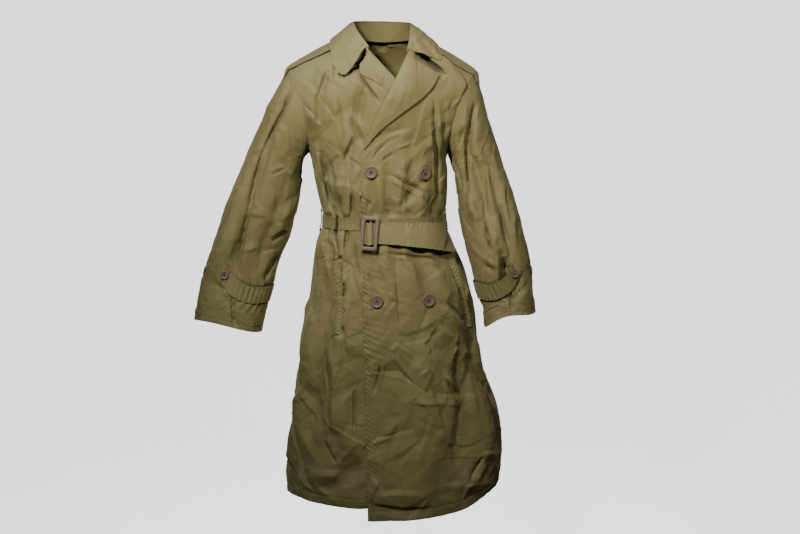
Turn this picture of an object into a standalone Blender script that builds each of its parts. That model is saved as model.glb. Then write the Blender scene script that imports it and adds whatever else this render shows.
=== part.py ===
"""A belted, double-breasted raincoat, hollow as it is worn, with lapels and collar turned back.

Metres, +Z up. The coat faces -Y, and the wearer's left is +X. The origin lies between the shoulder
points of the neck, where the wearer's shoulders carry the coat.
"""

import math
from collections import namedtuple

import bmesh
import bpy
import mathutils
import numpy as np

# Cloth and seams
CLOTH = 0.0012
SEAM_GAP = 0.0004
LAYER_GAP = 0.0009

# Heights of the hem, belt and armpits below the neck's shoulder points
HEM_Z = -1.075
BELT_Z = -0.419
BELT_HEIGHT = 0.028
ARMPIT_Z = -0.262

# Shoulders and neck
NECK_HALF_WIDTH = 0.078
NECK_FRONT_DEPTH = 0.055
NECK_BACK_DEPTH = 0.066
NECK_BACK_DROP = 0.006
SHOULDER_DROP = 0.070
SHOULDER_CURVE = 1.35
SHOULDER_LEAN = 0.020
SHOULDER_ROUND = 0.150
TIP_X = 0.217

# A body section is a rounded oval: this power is 2 for an ellipse, and more for a squarer one
OVAL_POWER = 2.3

Section = namedtuple("Section", "height left right front back")
BODY = (
    Section(-1.120, -0.232, 0.285, -0.192, 0.199),
    Section(-1.010, -0.230, 0.286, -0.190, 0.196),
    Section(-0.950, -0.222, 0.283, -0.186, 0.191),
    Section(-0.890, -0.214, 0.274, -0.181, 0.186),
    Section(-0.830, -0.205, 0.254, -0.176, 0.181),
    Section(-0.770, -0.199, 0.232, -0.171, 0.176),
    Section(-0.710, -0.194, 0.224, -0.166, 0.170),
    Section(-0.640, -0.183, 0.218, -0.158, 0.163),
    Section(-0.590, -0.170, 0.206, -0.152, 0.155),
    Section(-0.530, -0.162, 0.188, -0.142, 0.143),
    Section(-0.470, -0.151, 0.160, -0.126, 0.122),
    Section(-0.419, -0.138, 0.145, -0.112, 0.106),
    Section(-0.380, -0.142, 0.146, -0.117, 0.111),
    Section(-0.320, -0.157, 0.150, -0.122, 0.117),
    Section(-0.262, -0.170, 0.152, -0.120, 0.119),
    Section(-0.210, -0.203, 0.195, -0.117, 0.119),
    Section(-0.170, -0.228, 0.222, -0.115, 0.118),
    Section(-0.100, -0.305, 0.300, -0.110, 0.114),
    Section(0.060, -0.360, 0.355, -0.104, 0.108),
)

# Where the hem is caught up on the wearer's left side
HEM_RAISE = 0.062
HEM_RAISE_ANGLE = 92.0
HEM_RAISE_SPREAD = 42.0
HEM_RAISE_REACH = 3.0
LEFT_HEM_DROP = 0.014
RIGHT_HEM_RAISE = 0.022
RIGHT_RAISE = 0.014
RIGHT_RAISE_ANGLE = -70.0
RIGHT_RAISE_SPREAD = 50.0

# Front edges below the lapels
LEFT_EDGE_TOP_X = -0.046
LEFT_EDGE_HEM_X = -0.031
RIGHT_EDGE_X = 0.070
UNDERLAP_SINK = 0.005
UNDERLAP_FADE = 0.030
UNDERLAP_START = 0.006
OVERLAP_LIFT = 0.0026
OVERLAP_FADE = 0.060
CROSSING_LIFT = 0.0085
CROSSING_Z = -0.115
CROSSING_REACH = 0.070

# The neckline from the break of the lapel, up the roll line to the shoulder point of the neck
Edge = namedtuple("Edge", "share x z")
LEFT_NECKLINE = (
    Edge(0.00, -0.046, -0.262),
    Edge(0.22, -0.008, -0.172),
    Edge(0.40, 0.026, -0.104),
    Edge(0.52, 0.047, -0.062),
    Edge(0.60, 0.058, -0.038),
    Edge(0.80, 0.070, -0.014),
    Edge(1.00, 0.078, 0.000),
)
RIGHT_NECKLINE = (
    Edge(0.00, 0.070, -0.262),
    Edge(0.20, 0.066, -0.182),
    Edge(0.36, 0.040, -0.108),
    Edge(0.49, 0.003, -0.064),
    Edge(0.60, -0.030, -0.030),
    Edge(0.80, -0.061, -0.009),
    Edge(1.00, -0.078, 0.002),
)
NOTCH_SHARE = 0.60

# Sleeve rings from the armhole to the cuff: the outer and inner points in front view, half depth, middle
Ring = namedtuple("Ring", "outer_x outer_z inner_x inner_z half_depth middle_y")
SLEEVE_RIGHT = (
    Ring(-0.217, -0.0655, -0.170, -0.262, 0.078, 0.000),
    Ring(-0.257, -0.142, -0.179, -0.273, 0.077, 0.002),
    Ring(-0.290, -0.212, -0.188, -0.294, 0.075, 0.000),
    Ring(-0.320, -0.280, -0.191, -0.334, 0.073, -0.003),
    Ring(-0.350, -0.348, -0.198, -0.388, 0.071, -0.008),
    Ring(-0.378, -0.420, -0.220, -0.462, 0.068, -0.014),
    Ring(-0.402, -0.490, -0.246, -0.528, 0.065, -0.020),
    Ring(-0.423, -0.560, -0.262, -0.590, 0.058, -0.026),
    Ring(-0.434, -0.612, -0.276, -0.640, 0.060, -0.030),
    Ring(-0.442, -0.654, -0.284, -0.680, 0.062, -0.033),
)
SLEEVE_LEFT = (
    Ring(0.214, -0.0720, 0.152, -0.262, 0.078, 0.000),
    Ring(0.236, -0.152, 0.158, -0.276, 0.077, 0.002),
    Ring(0.258, -0.222, 0.163, -0.300, 0.075, -0.002),
    Ring(0.277, -0.280, 0.168, -0.330, 0.073, -0.008),
    Ring(0.300, -0.348, 0.175, -0.388, 0.071, -0.016),
    Ring(0.321, -0.420, 0.186, -0.452, 0.068, -0.026),
    Ring(0.338, -0.487, 0.203, -0.516, 0.065, -0.036),
    Ring(0.349, -0.555, 0.219, -0.580, 0.058, -0.045),
    Ring(0.353, -0.600, 0.233, -0.626, 0.060, -0.050),
    Ring(0.356, -0.628, 0.238, -0.666, 0.062, -0.054),
)
# Cuffs drawn up in front: by how much of the sleeve, at which angle round it, and how wide
CuffRaise = namedtuple("CuffRaise", "share angle spread")
RIGHT_CUFF_RAISE = CuffRaise(0.036, 70.0, 60.0)
LEFT_CUFF_RAISE = CuffRaise(0.066, 98.0, 48.0)
CUFF_RAISE_START = 0.80
ARMHOLE_BULGE = 0.020
SLEEVE_OVAL = 2.15

# Folds pressed into the body: a line from one angle and height to another; depth is inward when negative
Fold = namedtuple("Fold", "angle_low height_low angle_high height_high width depth")
BODY_FOLDS = (
    Fold(-52, -0.98, -40, -0.52, 0.020, -0.014),
    Fold(-34, -0.90, -30, -0.60, 0.018, 0.008),
    Fold(-70, -1.05, -62, -0.62, 0.024, 0.010),
    Fold(-36, -1.03, -14, -0.95, 0.022, -0.012),
    Fold(10, -1.05, 24, -0.66, 0.022, 0.007),
    Fold(26, -1.04, 52, -0.72, 0.022, -0.010),
    Fold(48, -1.02, 76, -0.66, 0.026, 0.012),
    Fold(72, -1.00, 60, -0.56, 0.018, -0.011),
    Fold(-36, -0.40, -50, -0.24, 0.014, -0.007),
    Fold(-20, -0.36, -34, -0.16, 0.016, -0.006),
    Fold(12, -0.39, 46, -0.30, 0.012, -0.006),
    Fold(16, -0.30, 44, -0.22, 0.014, 0.005),
    Fold(104, -1.06, 112, -0.55, 0.030, -0.012),
    Fold(128, -1.08, 134, -0.52, 0.026, 0.010),
    Fold(150, -1.08, 152, -0.56, 0.026, -0.013),
    Fold(172, -1.08, 170, -0.52, 0.028, 0.010),
    Fold(-166, -1.08, -160, -0.54, 0.026, -0.013),
    Fold(-140, -1.08, -138, -0.52, 0.026, 0.010),
    Fold(-112, -1.08, -108, -0.56, 0.028, -0.012),
    Fold(140, -0.38, 158, -0.20, 0.020, -0.007),
    Fold(-140, -0.38, -158, -0.20, 0.020, -0.007),
)
FOLD_RADIUS = 0.18
GATHERS = 17
GATHER_DEPTH = 0.0045
GATHER_REACH = 0.045

SleeveFold = namedtuple("SleeveFold", "angle_top share_top angle_end share_end width depth")
RIGHT_SLEEVE_FOLDS = (
    SleeveFold(70, 0.08, 84, 0.80, 0.012, -0.013),
    SleeveFold(128, 0.30, 110, 0.72, 0.014, -0.006),
    SleeveFold(44, 0.30, 52, 0.78, 0.014, 0.005),
    SleeveFold(250, 0.20, 285, 0.75, 0.016, -0.009),
    SleeveFold(215, 0.35, 235, 0.70, 0.014, -0.006),
)
LEFT_SLEEVE_FOLDS = (
    SleeveFold(100, 0.06, 92, 0.58, 0.012, -0.013),
    SleeveFold(66, 0.22, 70, 0.82, 0.012, -0.008),
    SleeveFold(122, 0.20, 118, 0.62, 0.012, 0.005),
    SleeveFold(252, 0.20, 288, 0.75, 0.016, -0.009),
    SleeveFold(215, 0.35, 235, 0.70, 0.014, -0.006),
)
SLEEVE_RADIUS = 0.07
SLEEVE_LENGTH = 0.60

# Collar, from the right notch round the back to the left one; the fall's edge is seen from above
Collar = namedtuple("Collar", "share stand_height lean edge_x edge_y")
COLLAR = (
    Collar(0.000, 0.007, 0.002, -0.055, -0.0950),
    Collar(0.045, 0.012, 0.004, -0.072, -0.0990),
    Collar(0.090, 0.018, 0.007, -0.091, -0.0975),
    Collar(0.135, 0.024, 0.009, -0.107, -0.0850),
    Collar(0.180, 0.029, 0.011, -0.115, -0.0605),
    Collar(0.230, 0.033, 0.012, -0.119, -0.0220),
    Collar(0.300, 0.037, 0.012, -0.114, 0.0220),
    Collar(0.400, 0.043, 0.011, -0.080, 0.0700),
    Collar(0.450, 0.045, 0.010, -0.044, 0.0885),
    Collar(0.500, 0.046, 0.010, 0.000, 0.0950),
    Collar(0.550, 0.045, 0.010, 0.044, 0.0885),
    Collar(0.600, 0.043, 0.011, 0.080, 0.0700),
    Collar(0.700, 0.037, 0.012, 0.117, 0.0220),
    Collar(0.770, 0.033, 0.012, 0.129, -0.0200),
    Collar(0.820, 0.029, 0.011, 0.134, -0.0480),
    Collar(0.870, 0.024, 0.009, 0.137, -0.0600),
    Collar(0.920, 0.018, 0.007, 0.130, -0.0690),
    Collar(1.000, 0.007, 0.002, 0.112, -0.0720),
)
COLLAR_FRONT_SPAN = 0.23
COLLAR_CLEAR = 0.0075
COLLAR_COLUMNS = 32
COLLAR_STEPS = (0.0, 0.08, 0.22, 0.45, 0.72, 1.0)
STAND_STEPS = (0.0, 0.5, 1.0)

# Lapels: a place on the neckline, the free edge across from it in front view, and how far it stands off
Lapel = namedtuple("Lapel", "share edge_x edge_z lift")
LAPEL_LEFT = (
    Lapel(0.03, -0.034, -0.246, 0.0010),
    Lapel(0.15, -0.006, -0.212, 0.0030),
    Lapel(0.29, 0.042, -0.172, 0.0045),
    Lapel(0.42, 0.090, -0.136, 0.0050),
    Lapel(0.51, 0.114, -0.110, 0.0045),
    Lapel(0.58, 0.126, -0.086, 0.0035),
)
LAPEL_RIGHT = (
    Lapel(0.33, 0.036, -0.138, 0.0010),
    Lapel(0.40, 0.013, -0.119, 0.0020),
    Lapel(0.47, -0.016, -0.099, 0.0035),
    Lapel(0.54, -0.043, -0.085, 0.0040),
    Lapel(0.58, -0.048, -0.064, 0.0035),
)
LAPEL_CLEAR = 0.0030
LAPEL_ROWS = 10
LAPEL_COLUMNS = 5

# Shoulder loops, seen from above
Loop = namedtuple("Loop", "x front_y back_y")
SHOULDER_LOOP = (
    Loop(0.098, -0.036, 0.014),
    Loop(0.160, -0.034, 0.022),
    Loop(0.2195, -0.026, 0.026),
)
SHOULDER_LOOP_COLUMNS = 7

# Belt, buckle and what holds them
BELT_LIFT = LAYER_GAP + CLOTH
Tail = namedtuple("Tail", "angle top_z end_z lift_top lift_end")
TAIL = (
    Tail(-16.5, -0.4100, -0.4480, 0.0098, 0.0112),
    Tail(-13.0, -0.4130, -0.4590, 0.0100, 0.0125),
    Tail(-3.0, -0.4135, -0.4600, 0.0100, 0.0130),
    Tail(25.0, -0.4150, -0.4690, 0.0090, 0.0150),
    Tail(50.0, -0.4190, -0.4800, 0.0080, 0.0140),
    Tail(74.0, -0.4240, -0.4890, 0.0043, 0.0090),
)
TAIL_STEPS = (0.0, 0.33, 0.67, 1.0)
BUCKLED_COLUMNS = 11
TAIL_COLUMNS = 9
BUCKLE_X = -0.027
BUCKLE_Z = -0.4385
BUCKLE_WIDTH = 0.040
BUCKLE_HEIGHT = 0.077
BUCKLE_BORDER = 0.0085
BUCKLE_CORNER = 0.008
BUCKLE_THICK = 0.0036
BUCKLE_LEAN = 2.0
Profile = namedtuple("Profile", "share height")
BUCKLE_PROFILE = (
    Profile(0.04, 0.0),
    Profile(0.00, 0.4),
    Profile(0.12, 0.9),
    Profile(0.35, 1.0),
    Profile(0.65, 1.0),
    Profile(0.88, 0.9),
    Profile(1.00, 0.4),
    Profile(0.96, 0.0),
)
BAR_WIDTH = 0.0036
BAR_THICK = 0.0016
OVER_BAR = 0.0056
Band = namedtuple("Band", "angle width height")
BELT_LOOP_LEFT = Band(94.0, 0.009, 0.052)
BELT_LOOP_RIGHT = Band(-87.0, 0.009, 0.052)
BELT_KEEPER = Band(-44.0, 0.008, 0.040)
BAND_STEPS = (-1.0, -0.80, -0.66, -0.35, 0.0, 0.35, 0.66, 0.80, 1.0)

# Pocket welts
Welt = namedtuple("Welt", "angle_top top_z angle_end end_z")
WELT_LEFT = Welt(60.0, -0.515, 66.0, -0.668)
WELT_RIGHT = Welt(-37.5, -0.520, -30.5, -0.665)
WELT_WIDTH = 0.020
WELT_ROWS = 14
WELT_COLUMNS = 4

# Buttons
BUTTON_RADIUS = 0.0143
BUTTON_THICK = 0.0042
CUFF_BUTTON_RADIUS = 0.0100
CUFF_BUTTON_THICK = 0.0034
BUTTON_STEPS = 16
BUTTON_PROFILE = (
    Profile(0.00, 0.00),
    Profile(0.80, 0.00),
    Profile(1.00, 0.35),
    Profile(1.00, 0.75),
    Profile(0.90, 1.00),
    Profile(0.78, 0.95),
    Profile(0.66, 0.66),
    Profile(0.00, 0.60),
)
Place = namedtuple("Place", "x z")
FRONT_BUTTONS = (
    Place(-0.023, -0.301),
    Place(0.095, -0.305),
    Place(-0.010, -0.588),
    Place(0.105, -0.588),
)
BUTTON_GAP = 0.0004

# Cuff straps: the stretch of the sleeve's length and of its round that they cover, in shares and degrees
StrapPlace = namedtuple("StrapPlace", "angle share")
STRAP_LINE = (
    StrapPlace(52.0, 0.708),
    StrapPlace(70.0, 0.724),
    StrapPlace(90.0, 0.764),
    StrapPlace(112.0, 0.784),
    StrapPlace(150.0, 0.778),
    StrapPlace(200.0, 0.772),
)
STRAP_WIDTH = 0.074
STRAP_ANGLES = (200, 190, 180, 170, 160, 150, 140, 130, 120, 112, 104, 97, 90, 83, 76, 69, 63, 58, 54)
STRAP_ROUND = 22.0
STRAP_STEPS = (-1.0, -0.33, 0.33, 1.0)
STRAP_GAP = 0.0018
STRAP_SEWN = 40.0
CUFF_BUTTONS = (StrapPlace(71.0, 0.726), StrapPlace(12.0, 0.736))

# Grid of the walls
SKIRT_ROWS = 11
BELT_ROWS = 2
CHEST_ROWS = 4
SHOULDER_ROWS = 9
FRONT_COLUMNS = 17
BACK_COLUMNS = 24
SLEEVE_COLUMNS = 18
SLEEVE_ROWS = 14
TINY = 1e-4

OLIVE = (0.105, 0.098, 0.038)
OLIVE_DARK = (0.060, 0.055, 0.022)
HORN = (0.115, 0.085, 0.070)


# Curves and section shapes


def smooth(at, knots, values):
    """A smooth curve through a table's rows."""
    knots = np.asarray(knots, float)
    values = np.asarray(values, float)
    slopes = np.gradient(values, knots)
    at = np.clip(np.asarray(at, float), knots[0], knots[-1])
    i = np.clip(np.searchsorted(knots, at, side="right") - 1, 0, len(knots) - 2)
    step = knots[i + 1] - knots[i]
    u = (at - knots[i]) / step
    start = values[i] * (1 + 2 * u) * (1 - u) ** 2 + slopes[i] * step * u * (1 - u) ** 2
    end = values[i + 1] * u * u * (3 - 2 * u) + slopes[i + 1] * step * u * u * (u - 1)
    return start + end


def column(rows, name):
    return [getattr(row, name) for row in rows]


def mix(a, b, share):
    return a + (b - a) * share


def ease(share):
    share = np.clip(share, 0.0, 1.0)
    return share * share * (3 - 2 * share)


def oval(angle, power=OVAL_POWER):
    """How far across and how far deep a rounded oval reaches at an angle from its middle, in radians."""
    across = np.sign(np.sin(angle)) * np.abs(np.sin(angle)) ** (2 / power)
    deep = np.abs(np.cos(angle)) ** (2 / power)
    return across, deep


def oval_angle(across):
    across = np.clip(across, -1.0, 1.0)
    return np.sign(across) * np.arcsin(np.abs(across) ** (OVAL_POWER / 2))


def body_value(name, z):
    return smooth(z, column(BODY, "height"), column(BODY, name))


def body_middle(z):
    return (body_value("left", z) + body_value("right", z)) / 2


def body_half_width(z):
    return (body_value("right", z) - body_value("left", z)) / 2


# The body's surface


def shoulder_line(x):
    """Height of the shoulder seam; inside the neck it is the height of the neck's edge."""
    out = np.clip((np.abs(x) - NECK_HALF_WIDTH) / (TIP_X - NECK_HALF_WIDTH), 0.0, 1.6)
    return -SHOULDER_DROP * out**SHOULDER_CURVE - SHOULDER_LEAN * x


def seam_depth(x, facing):
    """How far forward or back of the shoulder seam the neck's edge lies."""
    round_neck = np.sqrt(np.clip(1 - (x / NECK_HALF_WIDTH) ** 2, 0.0, 1.0))
    return np.where(facing < 0, -NECK_FRONT_DEPTH, NECK_BACK_DEPTH) * round_neck


def wall_depth(x, z, facing):
    """The body section's own depth at x, front or back."""
    across = np.clip((x - body_middle(z)) / body_half_width(z), -1.0, 1.0)
    deep = (1 - np.abs(across) ** OVAL_POWER) ** (1 / OVAL_POWER)
    return np.where(facing < 0, body_value("front", z), body_value("back", z)) * deep


def body_depth(x, z, facing):
    """Depth of the body's surface: its section, rounded off towards the shoulder seam."""
    below = np.clip((shoulder_line(x) - z) / SHOULDER_ROUND, 0.0, 1.0)
    turn = np.sqrt(1 - (1 - below) ** 2)
    seam = seam_depth(x, facing)
    return seam + (wall_depth(x, z, facing) - seam) * turn


def shoulder_height(x, y):
    """Height of the body's upper surface at a place seen from above."""
    facing = np.where(y < 0, -1.0, 1.0)
    seam = seam_depth(x, facing)
    wall = wall_depth(x, shoulder_line(x) - SHOULDER_ROUND / 2, facing)
    turn = np.clip((y - seam) / np.where(np.abs(wall - seam) < TINY, TINY, wall - seam), 0.0, 0.999)
    return shoulder_line(x) - SHOULDER_ROUND * (1 - np.sqrt(1 - turn**2))


def angle_round(x, y, z):
    """Angle round the body in degrees: 0 at the front, positive towards the wearer's left."""
    across = (x - body_middle(z)) / body_half_width(z)
    return np.degrees(np.arctan2(across, -y / -body_value("front", z)))


def gather_lift(angle, z):
    """Pleats that the belt draws in, deepest a little above and below it."""
    away = np.clip((np.abs(z - BELT_Z) - BELT_HEIGHT / 2) / GATHER_REACH, 0.0, None)
    turn = np.radians(angle)
    wave = np.cos(GATHERS * turn + 1.4 * np.sin(3 * turn))
    return GATHER_DEPTH * wave * away * np.exp(1 - away)


def fold_shape(place, run, width):
    """A fold's height on a flat sheet: 1 along the run from 0, fading at its sides and both ends."""
    length = math.hypot(*run)
    along = (place[0] * run[0] + place[1] * run[1]) / length**2
    off = (place[0] * run[1] - place[1] * run[0]) / length
    taper = np.clip(1 - np.abs(2 * along - 1) ** 3, 0.0, 1.0)
    return np.exp(-((off / width) ** 2)) * taper


def fold_lift(angle, z):
    """How far the body's folds move its surface out."""
    lift = gather_lift(angle, z)
    for fold in BODY_FOLDS:
        up = fold.height_high - fold.height_low
        run = math.radians(fold.angle_high - fold.angle_low) * FOLD_RADIUS, up
        turn = (angle - fold.angle_low + 180.0) % 360.0 - 180.0
        place = np.radians(turn) * FOLD_RADIUS, z - fold.height_low
        lift = lift + fold.depth * fold_shape(place, run, fold.width)
    return lift


def away_from_axis(x, y, z):
    """Level direction out of the body, from its middle."""
    out_x = (x - body_middle(z)) / body_half_width(z) ** 2
    out_y = y / body_value("back", z) ** 2
    length = np.sqrt(out_x**2 + out_y**2)
    return out_x / length, out_y / length


def folded(x, y, z, lift, fade):
    """A point of the body's surface moved out by its folds and by a lift of its own."""
    out_x, out_y = away_from_axis(x, y, z)
    move = fold_lift(angle_round(x, y, z), z) * fade + lift
    return np.stack(np.broadcast_arrays(x + out_x * move, y + out_y * move, z), axis=-1)


# Sleeve surface


def sleeve_point(rings, folds, angle, share):
    """A point of a sleeve: angle in degrees from its outer side by the front, share of its length."""
    knots = np.linspace(0.0, 1.0, len(rings))
    outer_x, outer_z, inner_x, inner_z, half_depth, middle_y = (
        smooth(share, knots, column(rings, name)) for name in Ring._fields
    )
    turn = np.radians(angle)
    along = np.sign(np.cos(turn)) * np.abs(np.cos(turn)) ** (2 / SLEEVE_OVAL)
    deep = np.sign(np.sin(turn)) * np.abs(np.sin(turn)) ** (2 / SLEEVE_OVAL)
    half_x, half_z = (outer_x - inner_x) / 2, (outer_z - inner_z) / 2
    side = math.copysign(1.0, rings[0].outer_x)
    bulge = side * ARMHOLE_BULGE * np.sin(turn) ** 2 * np.clip(1 - share * 5, 0.0, 1.0) ** 2
    width = np.sqrt(half_x**2 + half_z**2)
    move = sleeve_folds(folds, angle, share)
    x = (outer_x + inner_x) / 2 - bulge + along * half_x * (1 + move / width)
    z = (outer_z + inner_z) / 2 + along * half_z * (1 + move / width)
    y = middle_y - deep * (half_depth + move)
    return np.stack(np.broadcast_arrays(x, y, z), axis=-1)


def sleeve_folds(folds, angle, share):
    """How far a sleeve's folds move its surface out."""
    lift = np.zeros(np.broadcast(angle, share).shape)
    for fold in folds:
        down = (fold.share_end - fold.share_top) * SLEEVE_LENGTH
        run = math.radians(fold.angle_end - fold.angle_top) * SLEEVE_RADIUS, down
        turn = (angle - fold.angle_top + 180.0) % 360.0 - 180.0
        place = np.radians(turn) * SLEEVE_RADIUS, (share - fold.share_top) * SLEEVE_LENGTH
        lift = lift + fold.depth * fold_shape(place, run, fold.width)
    return lift


def cuff_share(raised, angle, share):
    """Share along a sleeve with its end drawn up on one side."""
    turned = (np.asarray(angle, float) - raised.angle + 180.0) % 360.0 - 180.0
    near_end = ease((share - CUFF_RAISE_START) / (1 - CUFF_RAISE_START))
    return share - raised.share * np.exp(-((turned / raised.spread) ** 2)) * near_end


def armhole(side, share, facing):
    """A point of the armhole's seam, from armpit (0) to shoulder tip (1), by the front or back."""
    rings = SLEEVE_LEFT if side > 0 else SLEEVE_RIGHT
    angle = 180.0 * (1 - share) * (1.0 if facing < 0 else -1.0)
    return sleeve_point(rings, (), angle, np.zeros_like(np.asarray(share, float)))


# Panels, by share across and row: rows 0 to 1 climb from hem to armpit, 1 to 2 to the shoulder


def row_height(row):
    return HEM_Z + (ARMPIT_Z - HEM_Z) * np.clip(row, 0.0, 1.0)


def hem_raise(angle, row):
    turn = (angle - HEM_RAISE_ANGLE + 180.0) % 360.0 - 180.0
    near_hem = np.clip(1 - row, 0.0, 1.0) ** HEM_RAISE_REACH
    right_turn = (angle - RIGHT_RAISE_ANGLE + 180.0) % 360.0 - 180.0
    raised = HEM_RAISE * np.exp(-((turn / HEM_RAISE_SPREAD) ** 2))
    return (raised + RIGHT_RAISE * np.exp(-((right_turn / RIGHT_RAISE_SPREAD) ** 2))) * near_hem


def front_edge(side, row):
    """X of a front's free edge below its lapel."""
    if side < 0:
        return np.full(np.shape(row), RIGHT_EDGE_X)
    return mix(LEFT_EDGE_HEM_X, LEFT_EDGE_TOP_X, np.clip(row, 0.0, 1.0))


def neckline(side, share):
    """(x, z) of a front's inner edge above the break of its lapel."""
    rows = LEFT_NECKLINE if side > 0 else RIGHT_NECKLINE
    knots = column(rows, "share")
    x = smooth(share, knots, column(rows, "x"))
    z = smooth(share, knots, column(rows, "z"))
    return x, np.minimum(z, shoulder_line(x))


def lap_edge(row):
    """X of the left front's free edge, up its whole length."""
    return np.where(row > 1.0, neckline(1.0, np.clip(row - 1, 0, 1))[0], front_edge(1.0, row))


def front_lift(side, x, z, row):
    """Lifts the left front over the right one, and sinks the right one's hidden underlap."""
    if side < 0:
        return -UNDERLAP_SINK * ease((x - lap_edge(row) + UNDERLAP_START) / UNDERLAP_FADE)
    lapped = 1 - ease((x - RIGHT_EDGE_X - 0.010) / OVERLAP_FADE)
    crossing = np.exp(-(((z - CROSSING_Z) / CROSSING_REACH) ** 2)) * (1 - ease((x - 0.055) / 0.05))
    return OVERLAP_LIFT * lapped * (1 - ease((z + 0.09) / 0.05)) + CROSSING_LIFT * crossing


def front_panel(side, across, row):
    """A point of a front: across runs from the free edge (0) to the side seam or armhole (1)."""
    across, row = np.broadcast_arrays(np.asarray(across, float), np.asarray(row, float))
    low = row_height(row)
    edge_low = front_edge(side, row)
    middle, half = body_middle(low), body_half_width(low)
    angle_in = oval_angle((edge_low - middle) / half)
    angle = mix(angle_in, side * math.pi / 2, across)
    reach, deep = oval(angle)
    x_low = middle + half * reach
    hem_step = -LEFT_HEM_DROP if side > 0 else RIGHT_HEM_RAISE
    hem_step = hem_step * (1 - across) ** 2 * np.clip(1 - row, 0.0, 1.0) ** HEM_RAISE_REACH
    z_low = low + hem_raise(np.degrees(angle), row) + hem_step
    y_low = body_value("front", low) * deep

    share = np.clip(row - 1.0, 0.0, 1.0)
    in_x, in_z = neckline(side, share)
    out = armhole(side, share, -1.0)
    reach_in = oval(angle_in)[0]
    m = (reach - reach_in) / (side - reach_in)
    x_high = mix(in_x, out[..., 0], m)
    tip = armhole(side, np.ones(1), -1.0)[0]
    straight = mix(neckline(side, 1.0)[1], tip[2], m)
    seam_z = shoulder_line(mix(side * NECK_HALF_WIDTH, tip[0], m))
    z_high = mix(in_z, out[..., 2], m) + share**2 * (seam_z - straight)
    y_high = body_depth(x_high, z_high, -1.0)
    at_seam = body_depth(out[..., 0], out[..., 2], -1.0)
    y_high = y_high + (out[..., 1] - at_seam) * m**4

    high = row > 1.0
    x, y, z = (np.where(high, a, b) for a, b in ((x_high, x_low), (y_high, y_low), (z_high, z_low)))
    fade = (1 - share) ** 2 * (1 - m**4 * ease((row - 0.85) / 0.15))
    past_edge = (x - lap_edge(row)) / UNDERLAP_FADE
    fade = fade * (ease(past_edge) if side > 0 else ease(-past_edge))
    return folded(x, y, z, front_lift(side, x, z, row), fade)


def back_panel(across, row):
    """A point of the back: across runs from the wearer's right side (0) to the left (1)."""
    across, row = np.broadcast_arrays(np.asarray(across, float), np.asarray(row, float))
    low = row_height(row)
    angle = (across - 0.5) * math.pi
    reach, deep = oval(angle)
    x_low = body_middle(low) + body_half_width(low) * reach
    z_low = low + hem_raise(180.0 - np.degrees(angle), row)
    y_low = body_value("back", low) * deep

    share = np.clip(row - 1.0, 0.0, 1.0)
    right, left = armhole(-1.0, share, 1.0), armhole(1.0, share, 1.0)
    x_high = mix(right[..., 0], left[..., 0], (reach + 1) / 2)
    tips = armhole(-1.0, np.ones(1), 1.0)[0], armhole(1.0, np.ones(1), 1.0)[0]
    x_top = mix(tips[0][0], tips[1][0], (reach + 1) / 2)
    round_neck = np.clip(1 - (x_top / NECK_HALF_WIDTH) ** 2, 0.0, 1.0)
    z_top = shoulder_line(x_top) - NECK_BACK_DROP * round_neck
    edge_z = np.where(reach < 0, right[..., 2], left[..., 2])
    tip_z = np.where(reach < 0, tips[0][2], tips[1][2])
    climb = (edge_z - ARMPIT_Z) / (tip_z - ARMPIT_Z)
    z_high = ARMPIT_Z + (z_top - ARMPIT_Z) * climb
    y_high = body_depth(x_high, z_high, 1.0)
    edge = np.where((reach < 0)[..., None], right, left)
    y_high = y_high + (edge[..., 1] - body_depth(edge[..., 0], edge[..., 2], 1.0)) * reach**4

    high = row > 1.0
    x, y, z = (np.where(high, a, b) for a, b in ((x_high, x_low), (y_high, y_low), (z_high, z_low)))
    fade = (1 - share) ** 2 * (1 - reach**4 * ease((row - 0.85) / 0.15))
    return folded(x, y, z, 0.0, fade)


def front_across(side, angle, row):
    """Share across a front at an angle round the body in degrees."""
    low = row_height(row)
    angle_in = np.degrees(oval_angle((front_edge(side, row) - body_middle(low)) / body_half_width(low)))
    return (angle - angle_in) / (side * 90.0 - angle_in)


def row_of(z):
    """Row of a height between hem and armpit."""
    return (np.asarray(z, float) - HEM_Z) / (ARMPIT_Z - HEM_Z)


# Solids


def outward(surface, u, v):
    """Unit normals of a surface at its grid points, from a small step each way."""
    u_low, u_high = np.clip(u - TINY, 0, None), u + TINY
    across = surface(u_high, v) - surface(u_low, v)
    up = surface(u, v + TINY) - surface(u, np.clip(v - TINY, 0, None))
    normal = np.cross(across, up)
    return normal / np.linalg.norm(normal, axis=-1, keepdims=True)


def grid_normals(points, closed=False):
    """Unit normals of a grid of points, from their neighbours."""
    if closed:
        around = np.roll(points, -1, axis=1) - np.roll(points, 1, axis=1)
    else:
        around = np.gradient(points, axis=1)
    normal = np.cross(around, np.gradient(points, axis=0))
    return normal / np.maximum(np.linalg.norm(normal, axis=-1, keepdims=True), 1e-12)


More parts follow.
